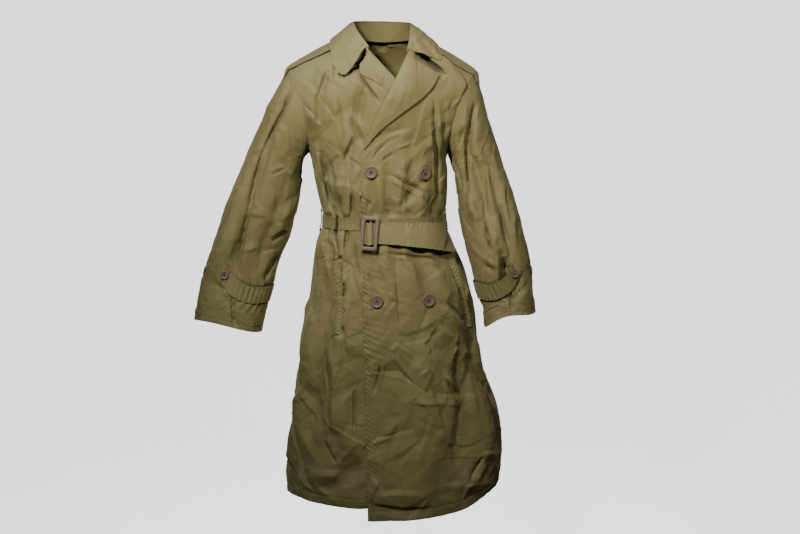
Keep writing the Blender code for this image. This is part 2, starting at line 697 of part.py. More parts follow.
def wall(name, outer, inner, material, closed=False):
    """A closed wall between two grids of points; a closed one runs round a tube."""
    rows, columns = outer.shape[:2]
    points = np.concatenate([outer.reshape(-1, 3), inner.reshape(-1, 3)])
    depth = rows * columns

    def at(row, col, layer):
        return layer * depth + row * columns + col % columns

    faces = []
    spans = columns if closed else columns - 1
    for row in range(rows - 1):
        for col in range(spans):
            corners = [(row, col), (row, col + 1), (row + 1, col + 1), (row + 1, col)]
            faces.append([at(r, c, 0) for r, c in corners])
            faces.append([at(r, c, 1) for r, c in (corners[0], corners[3], corners[2], corners[1])])
    rims = [((row, col), (row, col + 1)) for row in (0, rows - 1) for col in range(spans)]
    if not closed:
        rims += [((row, col), (row + 1, col)) for col in (0, columns - 1) for row in range(rows - 1)]
    for a, b in rims:
        faces.append([at(*a, 0), at(*a, 1), at(*b, 1), at(*b, 0)])
    mesh = bpy.data.meshes.new(name)
    mesh.from_pydata(points.tolist(), [], faces)
    shape = bmesh.new()
    shape.from_mesh(mesh)
    bmesh.ops.triangulate(shape, faces=shape.faces, quad_method="FIXED")
    bmesh.ops.recalc_face_normals(shape, faces=shape.faces)
    shape.to_mesh(mesh)
    shape.free()
    mesh.shade_smooth()
    mesh.set_sharp_from_angle(angle=math.radians(50))
    return place(bpy.data.objects.new(name, mesh), material)


def sheet(name, points, material, facing):
    """A wall whose outer face is a grid of points and looks along a direction."""
    normal = grid_normals(points)
    if (normal * np.asarray(facing)).sum(axis=-1).mean() < 0:
        normal = -normal
    return wall(name, points, points - normal * CLOTH, material)


def place(obj, material):
    obj.data.materials.clear()
    obj.data.materials.append(material)
    coat.objects.link(obj)
    return obj


def finish(name, colour, roughness):
    """A plain material of one colour."""
    made = bpy.data.materials.new(name)
    made.use_nodes = True
    shader = made.node_tree.nodes["Principled BSDF"]
    shader.inputs["Base Color"].default_value = (*colour, 1.0)
    shader.inputs["Roughness"].default_value = roughness
    made.diffuse_color = (*colour, 1.0)
    return made


# Panels


def panel_rows():
    """Rows from hem to shoulder seam, with rows of their own at the belt's edges."""
    belt_low, belt_high = row_of(BELT_Z - BELT_HEIGHT / 2), row_of(BELT_Z + BELT_HEIGHT / 2)
    return np.concatenate([
        np.linspace(0.0, belt_low, SKIRT_ROWS + 1),
        np.linspace(belt_low, belt_high, BELT_ROWS + 1)[1:],
        np.linspace(belt_high, 1.0, CHEST_ROWS + 1)[1:],
        1.0 + np.linspace(0.0, 1.0, SHOULDER_ROWS + 1)[1:],
    ])


Panel = namedtuple("Panel", "points normal columns rows")


def make_panel(name, surface, columns, rows, looks_along):
    """A panel's wall; returns its grid, so that what lies on it can use its points."""
    u, v = np.meshgrid(columns, rows)
    points = surface(u, v)
    normal = outward(surface, u, v)
    if (normal * np.asarray(looks_along)).sum(axis=-1).mean() < 0:
        normal = -normal
    points[-1, :, 1] += np.sign(looks_along[1]) * SEAM_GAP / 2
    wall(name, points, points - normal * CLOTH, olive)
    return Panel(points, normal, columns, rows)


def on_panel(panel, across, row, lift=0.0):
    """A point on a panel's own faces, moved out along its normals."""
    across, row = np.broadcast_arrays(np.asarray(across, float), np.asarray(row, float))
    col = np.interp(across, panel.columns, np.arange(len(panel.columns)))
    line = np.interp(row, panel.rows, np.arange(len(panel.rows)))
    i = np.clip(line.astype(int), 0, len(panel.rows) - 2)
    j = np.clip(col.astype(int), 0, len(panel.columns) - 2)
    a, b = (line - i)[..., None], (col - j)[..., None]

    def spread(grid):
        first, second, third, fourth = grid[i, j], grid[i, j + 1], grid[i + 1, j + 1], grid[i + 1, j]
        lower = first + (second - first) * b + (third - second) * a
        upper = first + (fourth - first) * a + (third - fourth) * b
        return np.where(b >= a, lower, upper)

    normal = spread(panel.normal)
    normal = normal / np.linalg.norm(normal, axis=-1, keepdims=True)
    return spread(panel.points) + normal * np.asarray(lift)[..., None]


def on_body(angle, z, lift=0.0):
    """A point on the body's panels below the armpits, at an angle round it in degrees."""
    angle, row, lift = np.broadcast_arrays(np.asarray(angle, float), row_of(z), np.asarray(lift, float))
    on_left = on_panel(left, front_across(1.0, angle, row), row, lift)
    on_right = on_panel(right, front_across(-1.0, angle, row), row, lift)
    on_back = on_panel(back, 0.5 + ((180.0 - angle + 180.0) % 360.0 - 180.0) / 180.0, row, lift)
    lapped = (front_across(1.0, angle, row) >= 0.0)[..., None]
    point = np.where(lapped, on_left, on_right)
    return np.where((np.abs(angle) > 90.0)[..., None], on_back, point)


def make_sleeve(name, rings, folds, raised):
    """A sleeve's wall; returns its grid, closed by a repeat of the first column."""
    angles = np.arange(SLEEVE_COLUMNS + 1) * 360.0 / SLEEVE_COLUMNS
    shares = np.linspace(0.0, 1.0, SLEEVE_ROWS + 1)
    angle, share = np.meshgrid(angles, shares)
    points = sleeve_point(rings, folds, angle, cuff_share(raised, angle, share))
    leave = points[1] - points[0]
    points[0] += leave / np.linalg.norm(leave, axis=-1, keepdims=True) * SEAM_GAP
    points[0, :, 0] += math.copysign(1.5 * SEAM_GAP, rings[0].outer_x)
    tube = points[:, :-1]
    normal = grid_normals(tube, closed=True)
    if (normal * (tube - tube.mean(axis=1, keepdims=True))).sum(axis=-1).mean() < 0:
        normal = -normal
    seam_plane = np.cross(tube[0, 0] - tube[0, SLEEVE_COLUMNS // 2], (0.0, 1.0, 0.0))
    around = np.roll(tube[0], -1, axis=0) - np.roll(tube[0], 1, axis=0)
    in_plane = np.cross(around, seam_plane)
    in_plane = in_plane / np.linalg.norm(in_plane, axis=-1, keepdims=True)
    normal[0] = in_plane * np.sign((in_plane * normal[0]).sum(axis=-1, keepdims=True))
    wall(name, tube, tube - normal * CLOTH, olive, closed=True)
    return Panel(points, np.concatenate([normal, normal[:, :1]], axis=1), angles, shares)


# Collar and lapels


def neck_seam(share):
    """A point of the seam that the collar stands on, from the right notch round to the left one."""
    share = np.asarray(share, float)
    front = COLLAR_FRONT_SPAN
    right = neckline(-1.0, mix(NOTCH_SHARE, 1.0, np.clip(share / front, 0.0, 1.0)))
    left = neckline(1.0, mix(NOTCH_SHARE, 1.0, np.clip((1 - share) / front, 0.0, 1.0)))
    turn = (np.clip((share - front) / (1 - 2 * front), 0.0, 1.0) - 0.5) * math.pi
    back_x = NECK_HALF_WIDTH * np.sin(turn)
    back_z = shoulder_line(back_x) - NECK_BACK_DROP * np.cos(turn) ** 2
    x = np.where(share < front, right[0], np.where(share > 1 - front, left[0], back_x))
    z = np.where(share < front, right[1], np.where(share > 1 - front, left[1], back_z))
    at_front = (share < front) | (share > 1 - front)
    y = np.where(at_front, body_depth(x, z, -1.0), NECK_BACK_DEPTH * np.cos(turn))
    return np.stack([x, y, z], axis=-1)


def collar_value(name, share):
    return smooth(share, column(COLLAR, "share"), column(COLLAR, name))


def collar_fold(share):
    """The fold between stand and fall."""
    seam = neck_seam(share)
    inward = -seam[..., :2] / np.linalg.norm(seam[..., :2], axis=-1, keepdims=True)
    fold = seam.copy()
    fold[..., :2] += inward * collar_value("lean", share)[..., None]
    fold[..., 2] += collar_value("stand_height", share)
    return fold


def collar_edge(share):
    x, y = collar_value("edge_x", share), collar_value("edge_y", share)
    return np.stack([x, y, shoulder_height(x, y) + COLLAR_CLEAR], axis=-1)


def collar_point(share, down):
    """A point of the fall: down runs from the fold (0) to the free edge (1)."""
    share, down = np.broadcast_arrays(np.asarray(share, float), np.asarray(down, float))
    fold, edge = collar_fold(share), collar_edge(share)
    x = mix(fold[..., 0], edge[..., 0], down**0.92)
    y = mix(fold[..., 1], edge[..., 1], down**0.92)
    z = mix(fold[..., 2] + 1.5 * CLOTH, edge[..., 2], down**1.12)
    clear = shoulder_height(x, y) + COLLAR_CLEAR
    z = np.maximum(z, np.where(down > 0.3, clear, -1.0))
    return np.stack([x, y, z], axis=-1)


def neck_shares():
    """Places along the neck seam where the panels' edges have their points."""
    up = rows[rows > 1.0] - 1.0
    front = (up[up > NOTCH_SHARE] - NOTCH_SHARE) / (1 - NOTCH_SHARE) * COLLAR_FRONT_SPAN
    x = back.points[-1, :, 0]
    turn = np.arcsin(x[np.abs(x) < NECK_HALF_WIDTH - 0.004] / NECK_HALF_WIDTH)
    behind = COLLAR_FRONT_SPAN + (turn / math.pi + 0.5) * (1 - 2 * COLLAR_FRONT_SPAN)
    return np.concatenate([[0.0], front, behind, 1 - front[::-1], [1.0]])


def make_collar():
    share, up = np.meshgrid(neck_shares(), STAND_STEPS)
    seam = neck_seam(share) + np.array([0.0, 0.0, SEAM_GAP + CLOTH / 2])
    top = collar_fold(share) - np.array([0.0, 0.0, 0.0010])
    stand = mix(seam, top, up[..., None])
    sheet("collar_stand", stand, olive, facing=stand * np.array([1.0, 1.0, 0.0]))
    share, down = np.meshgrid(np.linspace(0.0, 1.0, COLLAR_COLUMNS + 1), COLLAR_STEPS)
    sheet("collar_fall", collar_point(share, down), olive, facing=(0.0, 0.0, 1.0))


def lapel_point(side, table, along, across):
    """A point of a lapel: along climbs the roll line, across runs from it to the free edge."""
    knots = np.linspace(0.0, 1.0, len(table))
    share, edge_x, edge_z, off = (smooth(along, knots, column(table, name)) for name in Lapel._fields)
    roll_x, roll_z = neckline(side, share)
    x, z = mix(roll_x, edge_x, across), mix(roll_z, edge_z, across)
    y = body_depth(x, z, -1.0)
    rise = SEAM_GAP + CLOTH + mix(0.0, LAPEL_CLEAR - CLOTH, np.sqrt(across))
    rise = rise + off * np.sin(math.pi * across**0.6)
    base = front_lift(1.0, x, z, 1.0 + share) if side > 0 else 0.0
    fade = np.clip(1 - (z - ARMPIT_Z) / 0.2, 0.0, 1.0) ** 2
    return folded(x, y, z, base + rise, fade)


def make_lapel(name, side, table):
    steps = np.linspace(0.0, 1.0, LAPEL_COLUMNS + 1), np.linspace(0.0, 1.0, LAPEL_ROWS + 1)
    across, along = np.meshgrid(*steps)
    sheet(name, lapel_point(side, table, along, across), olive, facing=(0.0, -1.0, 0.0))


# Straps on the shoulders, cuffs and waist


def shoulder_place(side, x, y, lift):
    """A point over the shoulder seam, on the front's or the back's own faces, seen from above."""
    panel = left if side > 0 else right
    out = (abs(x) - NECK_HALF_WIDTH) / (TIP_X - NECK_HALF_WIDTH)
    edge = front_edge(side, np.array(1.0)) - body_middle(ARMPIT_Z)
    angle_in = oval_angle(edge / body_half_width(ARMPIT_Z))
    reach_in = oval(angle_in)[0]
    across = (oval_angle(mix(reach_in, side, out)) - angle_in) / (side * math.pi / 2 - angle_in)
    rear = 0.5 + oval_angle(x / TIP_X) / math.pi
    steps = np.linspace(1.4, 2.0, 61)
    over_front, over_back = on_panel(panel, across, steps, lift), on_panel(back, rear, steps[::-1], lift)
    line = np.concatenate([over_front, over_back])
    return np.array([np.interp(y, line[:, 1], line[:, axis]) for axis in range(3)])


def make_shoulder_loop(name, side):
    """A strap over the shoulder seam, made from the front's and back's points moved out."""
    knots = column(SHOULDER_LOOP, "x")
    grid = []
    for reach in np.linspace(knots[0], knots[-1], SHOULDER_LOOP_COLUMNS + 1):
        front_y = smooth(reach, knots, column(SHOULDER_LOOP, "front_y"))
        back_y = smooth(reach, knots, column(SHOULDER_LOOP, "back_y"))
        depths = [front_y, front_y * 0.66, front_y * 0.33, 0.0, back_y * 0.5, back_y]
        grid.append([shoulder_place(side, side * reach, y, LAYER_GAP + CLOTH) for y in depths])
    sheet(name, np.array(grid), olive, facing=(0.0, 0.0, 1.0))


def strap_share(angle, step):
    """Share along the sleeve at a strap's edges, rounded in towards its tip."""
    near_tip = np.clip((STRAP_ANGLES[-1] + STRAP_ROUND - angle) / STRAP_ROUND, 0.0, 0.97)
    middle = smooth(angle, column(STRAP_LINE, "angle"), column(STRAP_LINE, "share"))
    return middle + STRAP_WIDTH / 2 * np.sqrt(1 - near_tip**2) * step


def make_cuff_strap(name, sleeve):
    """A strap round the front of a sleeve, close to it where it is sewn in."""
    angle, step = np.meshgrid(STRAP_ANGLES, STRAP_STEPS)
    share = strap_share(angle, step)
    off = mix(SEAM_GAP, STRAP_GAP, ease((STRAP_ANGLES[0] - angle) / STRAP_SEWN))
    wall(name, on_panel(sleeve, angle, share, off + CLOTH), on_panel(sleeve, angle, share, off), olive)


def smooth_body(angle, z, lift):
    """A point off the body without its folds, below the armpits, at an angle round it in degrees."""
    reach, deep = oval(np.radians(angle))
    x = body_middle(z) + body_half_width(z) * reach
    return folded(x, body_value("front", z) * deep, z, lift, 0.0)


def make_belt():
    """The run round the waist, from behind the buckle, made from the panels' own points moved out."""
    belt = slice(SKIRT_ROWS, SKIRT_ROWS + BELT_ROWS + 1)
    under_buckle = int(np.argmin(np.abs(left.points[SKIRT_ROWS, :, 0] - BUCKLE_X)))
    before_edge = int(np.argmax(right.points[SKIRT_ROWS, :, 0] < BUCKLE_X - BUCKLE_WIDTH / 2 - 0.001))
    runs = [
        (left, slice(under_buckle, -1), 1),
        (back, slice(None), -1),
        (right, slice(before_edge, -1), -1),
    ]
    points = np.concatenate([panel.points[belt, part][:, ::way] for panel, part, way in runs], axis=1)
    normal = np.concatenate([panel.normal[belt, part][:, ::way] for panel, part, way in runs], axis=1)
    wall("belt_waist", points + normal * BELT_LIFT, points + normal * LAYER_GAP, olive)


def tail_point(angle, down, bump=1.0):
    """A point of the belt's free end; it rises over the buckle's bar."""
    knots = column(TAIL, "angle")
    values = [smooth(angle, knots, column(TAIL, name)) for name in Tail._fields[1:]]
    top, end, lift_top, lift_end = values
    upper, lower = smooth_body(angle, top, lift_top), smooth_body(angle, end, lift_end)
    points = mix(upper, lower, np.asarray(down)[..., None])
    off = np.abs(points[..., 0] - BUCKLE_X)
    points[..., 1] -= bump * OVER_BAR * ease((BUCKLE_WIDTH / 2 - BUCKLE_BORDER - 0.0020 - off) / 0.0055)
    return points


def make_tail():
    past_buckle = belt_angle(BUCKLE_X + BUCKLE_WIDTH / 2)
    buckled = np.linspace(TAIL[0].angle, past_buckle, BUCKLED_COLUMNS + 1)
    angles = np.concatenate([buckled, np.linspace(past_buckle, TAIL[-1].angle, TAIL_COLUMNS + 1)[1:]])
    angle, down = np.meshgrid(angles, TAIL_STEPS)
    sheet("belt_tail", tail_point(angle, down), olive, facing=(0.0, -1.0, 0.0))


def rounded_frame(width, height, corner, steps=4):
    """Points round a rectangle with rounded corners, level with the ground plane."""
    points = []
    for turn in range(4):
        centre_x = (width / 2 - corner) * (1 if turn in (0, 3) else -1)
        centre_z = (height / 2 - corner) * (1 if turn in (0, 1) else -1)
        for step in range(steps + 1):
            angle = math.radians(90 * turn + 90 * step / steps)
            points.append((centre_x + corner * math.cos(angle), centre_z + corner * math.sin(angle)))
    return np.array(points)


def make_buckle():
    """A rounded frame with a bar down its middle, lying on the tail."""
    outer = rounded_frame(BUCKLE_WIDTH, BUCKLE_HEIGHT, BUCKLE_CORNER)
    border = 2 * BUCKLE_BORDER
    inner = rounded_frame(BUCKLE_WIDTH - border, BUCKLE_HEIGHT - border, BUCKLE_CORNER / 3)
    loops = []
    for row in BUCKLE_PROFILE:
        ring = mix(outer, inner, row.share)
        depth = np.full(len(ring), -row.height * BUCKLE_THICK)
        loops.append(np.column_stack([ring[:, 0], depth, ring[:, 1]]))
    shape = bmesh.new()
    verts = [[shape.verts.new(point) for point in loop] for loop in loops]
    for a, loop in enumerate(verts):
        after = verts[(a + 1) % len(verts)]
        for b in range(len(loop)):
            shape.faces.new((loop[b], loop[(b + 1) % len(loop)], after[(b + 1) % len(loop)], after[b]))
    bmesh.ops.recalc_face_normals(shape, faces=shape.faces)
    mesh = bpy.data.meshes.new("buckle")
    shape.to_mesh(mesh)
    shape.free()
    mesh.shade_smooth()
    mesh.set_sharp_from_angle(angle=math.radians(40))
    buckle = place(bpy.data.objects.new("buckle", mesh), horn)
    bar = make_bar()
    union = buckle.modifiers.new("bar", "BOOLEAN")
    union.operation = "UNION"
    union.solver = "EXACT"
    union.object = bar
    for obj in (buckle, bar):
        obj.matrix_world = buckle_frame()


def buckle_frame():
    """Where the buckle lies flat on the belt's free end."""
    across_frame = np.array([-1.0, -0.6, 0.0, 0.6, 1.0]) * BUCKLE_WIDTH / 2
    angle, down = np.meshgrid([belt_angle(BUCKLE_X + step) for step in across_frame], TAIL_STEPS)
    under = tail_point(angle, down, bump=0.0)
    run = under[:, 3].mean(axis=0) - under[:, 1].mean(axis=0)
    across = mathutils.Vector((run[0], run[1], 0.0)).normalized()
    up = mathutils.Vector(under[0, 2] - under[-1, 2])
    out = across.cross(up).normalized()
    up = out.cross(across)
    middle = under[:, 2].mean(axis=0)
    height = float(((under.reshape(-1, 3) - middle) @ np.array(out)).max()) + SEAM_GAP
    slide = (BUCKLE_Z - middle[2]) / up.z
    centre = mathutils.Vector(middle) + out * height + up * slide
    centre += across * ((BUCKLE_X - centre.x) / across.x)
    turn = mathutils.Matrix((across, -out, up)).transposed()
    lean = mathutils.Matrix.Rotation(math.radians(BUCKLE_LEAN), 3, "Y")
    return mathutils.Matrix.LocRotScale(centre, (turn @ lean).to_quaternion(), None)


def belt_angle(x):
    """Angle round the belt at an x on the front."""
    return math.degrees(float(oval_angle((x - body_middle(BELT_Z)) / body_half_width(BELT_Z))))


def make_bar():
    shape = bmesh.new()
    bmesh.ops.create_cube(shape, size=1.0)
    length = BUCKLE_HEIGHT - BUCKLE_BORDER
    bmesh.ops.scale(shape, vec=(BAR_WIDTH, BAR_THICK, length), verts=shape.verts)
    bmesh.ops.translate(shape, vec=(0.0, BAR_THICK / 2 - 0.0010, 0.0), verts=shape.verts)
    mesh = bpy.data.meshes.new("buckle_bar")
    shape.to_mesh(mesh)
    shape.free()
    bar = bpy.data.objects.new("buckle_bar", mesh)
    bar.data.materials.append(horn)
    cutters.objects.link(bar)
    bar.hide_render = True
    bar.display_type = "WIRE"
    return bar


def make_band(name, band, material):
    """A narrow band sewn to the body above and below the belt, and over it."""
    step, across = np.meshgrid(BAND_STEPS, (-0.5, 0.0, 0.5))
    z = BELT_Z + step * band.height / 2
    angle = band.angle + across * math.degrees(band.width / 0.145)
    clear_of_belt = (BELT_HEIGHT / 2 + 0.0015) / (band.height / 2)
    under = LAYER_GAP + (LAYER_GAP + CLOTH) * ease((clear_of_belt + 0.14 - np.abs(step)) / 0.14)
    wall(name, on_body(angle, z, under + CLOTH), on_body(angle, z, under), material)


def make_welt(name, welt):
    steps = np.linspace(0.0, 1.0, WELT_ROWS + 1), np.linspace(-0.5, 0.5, WELT_COLUMNS + 1)
    down, across = np.meshgrid(*steps)
    z = mix(welt.top_z, welt.end_z, down)
    angle = mix(welt.angle_top, welt.angle_end, down) + across * math.degrees(WELT_WIDTH / 0.165)
    wall(name, on_body(angle, z, LAYER_GAP + CLOTH), on_body(angle, z, LAYER_GAP), olive)


# Buttons


def make_button(name, centre, normal, radius, thick):
    """A turned button with a raised rim, its axis along a normal."""
    mesh = bpy.data.meshes.new(name)
    points = [(row.share * radius, 0.0, row.height * thick) for row in BUTTON_PROFILE]
    mesh.from_pydata(points, [(k, k + 1) for k in range(len(points) - 1)], [])
    button = place(bpy.data.objects.new(name, mesh), horn)
    turn = button.modifiers.new("turn", "SCREW")
    turn.angle = math.tau
    turn.steps = BUTTON_STEPS
    turn.render_steps = BUTTON_STEPS
    turn.use_merge_vertices = True
    turn.merge_threshold = 0.0001
    turn.use_normal_calculate = True
    button.location = centre
    button.rotation_mode = "QUATERNION"
    button.rotation_quaternion = mathutils.Vector(normal).to_track_quat("Z", "Y")


def seat(points, centre, normal):
    """Where a button's back rests on the highest of the points under it."""
    return centre + normal * (float(((points - centre) @ normal).max()) + BUTTON_GAP)


def disc(radius):
    """Places over a disc, for finding what lies under a button."""
    turn, out = np.meshgrid(np.linspace(0.0, math.tau, 17), np.linspace(0.0, radius, 5))
    return out * np.cos(turn), out * np.sin(turn)


def make_front_buttons():
    for number, spot in enumerate(FRONT_BUTTONS, start=1):
        wide, tall = disc(BUTTON_RADIUS)
        half, middle = body_half_width(spot.z), body_middle(spot.z)
        angle = np.degrees(oval_angle((spot.x + wide - middle) / half))
        under = on_body(angle, spot.z + tall)
        normal = np.cross(under[-1, 0] - under[-1, 8], under[-1, 4] - under[-1, 12])
        normal = normal / np.linalg.norm(normal)
        centre = seat(under.reshape(-1, 3), under[0, 0], normal)
        make_button(f"button_front_{number}", centre, normal, BUTTON_RADIUS, BUTTON_THICK)


def make_cuff_buttons(side_name, sleeve):
    for number, spot in enumerate(CUFF_BUTTONS, start=1):
        wide, tall = disc(CUFF_BUTTON_RADIUS)
        angle = spot.angle + np.degrees(wide / SLEEVE_RADIUS)
        share = spot.share + tall / SLEEVE_LENGTH
        under = on_panel(sleeve, angle % 360.0, share, STRAP_GAP + CLOTH if number == 1 else 0.0)
        outside = on_panel(sleeve, spot.angle, spot.share, 0.05)
        normal = np.cross(under[-1, 0] - under[-1, 8], under[-1, 4] - under[-1, 12])
        normal = normal / np.linalg.norm(normal) * np.sign(normal @ (outside - under[0, 0]))
        centre = seat(under.reshape(-1, 3), under[0, 0], normal)
        name = f"button_cuff_{side_name}_{number}"
        make_button(name, centre, normal, CUFF_BUTTON_RADIUS, CUFF_BUTTON_THICK)


# Build

for old in list(bpy.data.objects):
    bpy.data.objects.remove(old)
coat = bpy.data.collections.new("raincoat")
bpy.context.scene.collection.children.link(coat)
cutters = bpy.data.collections.new("cutters")
bpy.context.scene.collection.children.link(cutters)
olive = finish("olive_cloth", OLIVE, 0.42)
olive_dark = finish("belt_loop_thread", OLIVE_DARK, 0.6)
horn = finish("brown_plastic", HORN, 0.35)

rows = panel_rows()
side_gap = SEAM_GAP / 2 / (math.pi / 2 * 0.16)
front_columns = np.linspace(0.0, 1.0 - side_gap, FRONT_COLUMNS + 1)
back_columns = np.linspace(side_gap / 2, 1.0 - side_gap / 2, BACK_COLUMNS + 1)
left = make_panel("front_left", lambda u, v: front_panel(1.0, u, v), front_columns, rows, (0, -1, 0))
right = make_panel("front_right", lambda u, v: front_panel(-1.0, u, v), front_columns, rows, (0, -1, 0))
back = make_panel("back", back_panel, back_columns, rows, (0, 1, 0))
left_sleeve = make_sleeve("sleeve_left", SLEEVE_LEFT, LEFT_SLEEVE_FOLDS, LEFT_CUFF_RAISE)
right_sleeve = make_sleeve("sleeve_right", SLEEVE_RIGHT, RIGHT_SLEEVE_FOLDS, RIGHT_CUFF_RAISE)
make_collar()
make_lapel("lapel_left", 1.0, LAPEL_LEFT)
make_lapel("lapel_right", -1.0, LAPEL_RIGHT)
make_shoulder_loop("shoulder_loop_left", 1.0)
make_shoulder_loop("shoulder_loop_right", -1.0)
make_cuff_strap("cuff_strap_left", left_sleeve)
make_cuff_strap("cuff_strap_right", right_sleeve)
make_belt()
make_tail()
make_buckle()
make_band("belt_loop_left", BELT_LOOP_LEFT, olive_dark)
make_band("belt_loop_right", BELT_LOOP_RIGHT, olive_dark)
make_band("belt_keeper", BELT_KEEPER, olive_dark)
make_welt("pocket_welt_left", WELT_LEFT)
make_welt("pocket_welt_right", WELT_RIGHT)
make_front_buttons()
make_cuff_buttons("left", left_sleeve)
make_cuff_buttons("right", right_sleeve)
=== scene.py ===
"""Dresses the raincoat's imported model: fine cloth with creases and stitching, buttons, light and camera.

Metres, in the model's own frame: +Z up, the coat faces -Y, and the wearer's left is +X.
"""

import math
from collections import namedtuple

import bmesh
import bpy
import mathutils
import numpy as np
from mathutils.bvhtree import BVHTree
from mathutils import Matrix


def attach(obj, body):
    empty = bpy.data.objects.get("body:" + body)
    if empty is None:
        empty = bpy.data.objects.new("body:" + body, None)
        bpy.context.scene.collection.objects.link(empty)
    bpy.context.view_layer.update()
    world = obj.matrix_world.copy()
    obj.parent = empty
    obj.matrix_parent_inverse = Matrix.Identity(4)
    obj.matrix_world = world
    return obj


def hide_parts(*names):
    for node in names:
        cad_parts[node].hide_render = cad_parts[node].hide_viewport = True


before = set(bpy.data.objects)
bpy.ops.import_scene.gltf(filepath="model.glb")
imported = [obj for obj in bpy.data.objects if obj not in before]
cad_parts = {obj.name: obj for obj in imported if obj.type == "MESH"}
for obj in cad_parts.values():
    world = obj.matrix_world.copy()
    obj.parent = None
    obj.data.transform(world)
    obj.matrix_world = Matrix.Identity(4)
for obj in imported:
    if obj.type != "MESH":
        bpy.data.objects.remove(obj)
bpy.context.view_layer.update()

# Camera, at the photograph's angle
LENS = 50.0
SENSOR = 36.0
CAMERA_PLACE = (0.041, -2.6, -0.157)
CAMERA_TILT = 8.2
FRAME_WIDE = 800
FRAME_TALL = 534
FOCAL = LENS / SENSOR * FRAME_WIDE

# Shells of the visible cloth, and the room left under what lies on it
SHELL = 0.0008
STAND_SHELL = 0.0010
BELT_SHELL = 0.0011
TAPE_SHELL = 0.0016
LOOP_SHELL = 0.0016
TUCK_GAP = 0.0010
TUCK_REACH = 0.016
TUCK_DEEPEST = 0.013
TUCK_ROUNDS = 8

# Grids of the visible cloth: those of single pieces by columns and rows
FRONT_COLUMNS = 128
BACK_COLUMNS = 128
LOW_ROWS = 288
HIGH_ROWS = 88
SLEEVE_COLUMNS = 130
SLEEVE_ROWS = 210
COLLAR_GRID = (141, 33)
STAND_GRID = (141, 12)
LAPEL_GRID = (49, 65)
BELT_GRID = (260, 13)
TAIL_GRID = (150, 25)
BAND_GRID = (41, 9)
WELT_GRID = (73, 15)
STRAP_GRID = (81, 17)
LOOP_GRID = (25, 49)

# Directions
FORWARD = (0.0, -1.0, 0.0)
BACKWARD = (0.0, 1.0, 0.0)
UPWARD = (0.0, 0.0, 1.0)
LEVEL = (1.0, 1.0, 0.0)

# Cloth and seams
CLOTH = 0.0012
SEAM_GAP = 0.0004
LAYER_GAP = 0.0009

# Heights of the hem, belt and armpits below the neck's shoulder points
HEM_Z = -1.075
BELT_Z = -0.419
BELT_HEIGHT = 0.028
ARMPIT_Z = -0.262

# Shoulders and neck
NECK_HALF_WIDTH = 0.078
NECK_FRONT_DEPTH = 0.055
NECK_BACK_DEPTH = 0.066
NECK_BACK_DROP = 0.006
SHOULDER_DROP = 0.070
SHOULDER_CURVE = 1.35
SHOULDER_LEAN = 0.020
SHOULDER_ROUND = 0.150
TIP_X = 0.217

# A body section is a rounded oval: this power is 2 for an ellipse, and more for a squarer one
OVAL_POWER = 2.3

Section = namedtuple("Section", "height left right front back")
BODY = (
    Section(-1.120, -0.232, 0.285, -0.192, 0.199),
    Section(-1.010, -0.230, 0.286, -0.190, 0.196),
    Section(-0.950, -0.222, 0.283, -0.186, 0.191),
    Section(-0.890, -0.214, 0.274, -0.181, 0.186),
    Section(-0.830, -0.205, 0.254, -0.176, 0.181),
    Section(-0.770, -0.199, 0.232, -0.171, 0.176),
    Section(-0.710, -0.194, 0.224, -0.166, 0.170),
    Section(-0.640, -0.183, 0.218, -0.158, 0.163),
    Section(-0.590, -0.170, 0.206, -0.152, 0.155),
    Section(-0.530, -0.162, 0.188, -0.142, 0.143),
    Section(-0.470, -0.151, 0.160, -0.126, 0.122),
    Section(-0.419, -0.138, 0.145, -0.112, 0.106),
    Section(-0.380, -0.142, 0.146, -0.117, 0.111),
    Section(-0.320, -0.157, 0.150, -0.122, 0.117),
    Section(-0.262, -0.170, 0.152, -0.120, 0.119),
    Section(-0.210, -0.203, 0.195, -0.117, 0.119),
    Section(-0.170, -0.228, 0.222, -0.115, 0.118),
    Section(-0.100, -0.305, 0.300, -0.110, 0.114),
    Section(0.060, -0.360, 0.355, -0.104, 0.108),
)

# Where the hem is caught up at the sides, and how the fronts' corners differ
HEM_RAISE = 0.062
HEM_RAISE_ANGLE = 92.0
HEM_RAISE_SPREAD = 42.0
HEM_RAISE_REACH = 3.0
LEFT_HEM_DROP = 0.014
RIGHT_HEM_RAISE = 0.022
RIGHT_RAISE = 0.014
RIGHT_RAISE_ANGLE = -70.0
RIGHT_RAISE_SPREAD = 50.0

# Front edges below the lapels
LEFT_EDGE_TOP_X = -0.046
LEFT_EDGE_HEM_X = -0.031
RIGHT_EDGE_X = 0.070
UNDERLAP_SINK = 0.005
UNDERLAP_FADE = 0.030
UNDERLAP_START = 0.006
OVERLAP_LIFT = 0.0026
OVERLAP_START = 0.010
OVERLAP_FADE = 0.060
OVERLAP_TOP = -0.09
OVERLAP_TOP_FADE = 0.05
CROSSING_LIFT = 0.0085
CROSSING_Z = -0.115
CROSSING_REACH = 0.070
CROSSING_END = 0.055
CROSSING_FADE = 0.05

# The neckline from the break of the lapel, up the roll line to the shoulder point of the neck
Edge = namedtuple("Edge", "share x z")
LEFT_NECKLINE = (
    Edge(0.00, -0.046, -0.262),
    Edge(0.22, -0.008, -0.172),
    Edge(0.40, 0.026, -0.104),
    Edge(0.52, 0.047, -0.062),
    Edge(0.60, 0.058, -0.038),
    Edge(0.80, 0.070, -0.014),
    Edge(1.00, 0.078, 0.000),
)
RIGHT_NECKLINE = (
    Edge(0.00, 0.070, -0.262),
    Edge(0.20, 0.066, -0.182),
    Edge(0.36, 0.040, -0.108),
    Edge(0.49, 0.003, -0.064),
    Edge(0.60, -0.030, -0.030),
    Edge(0.80, -0.061, -0.009),
    Edge(1.00, -0.078, 0.002),
)
NOTCH_SHARE = 0.60

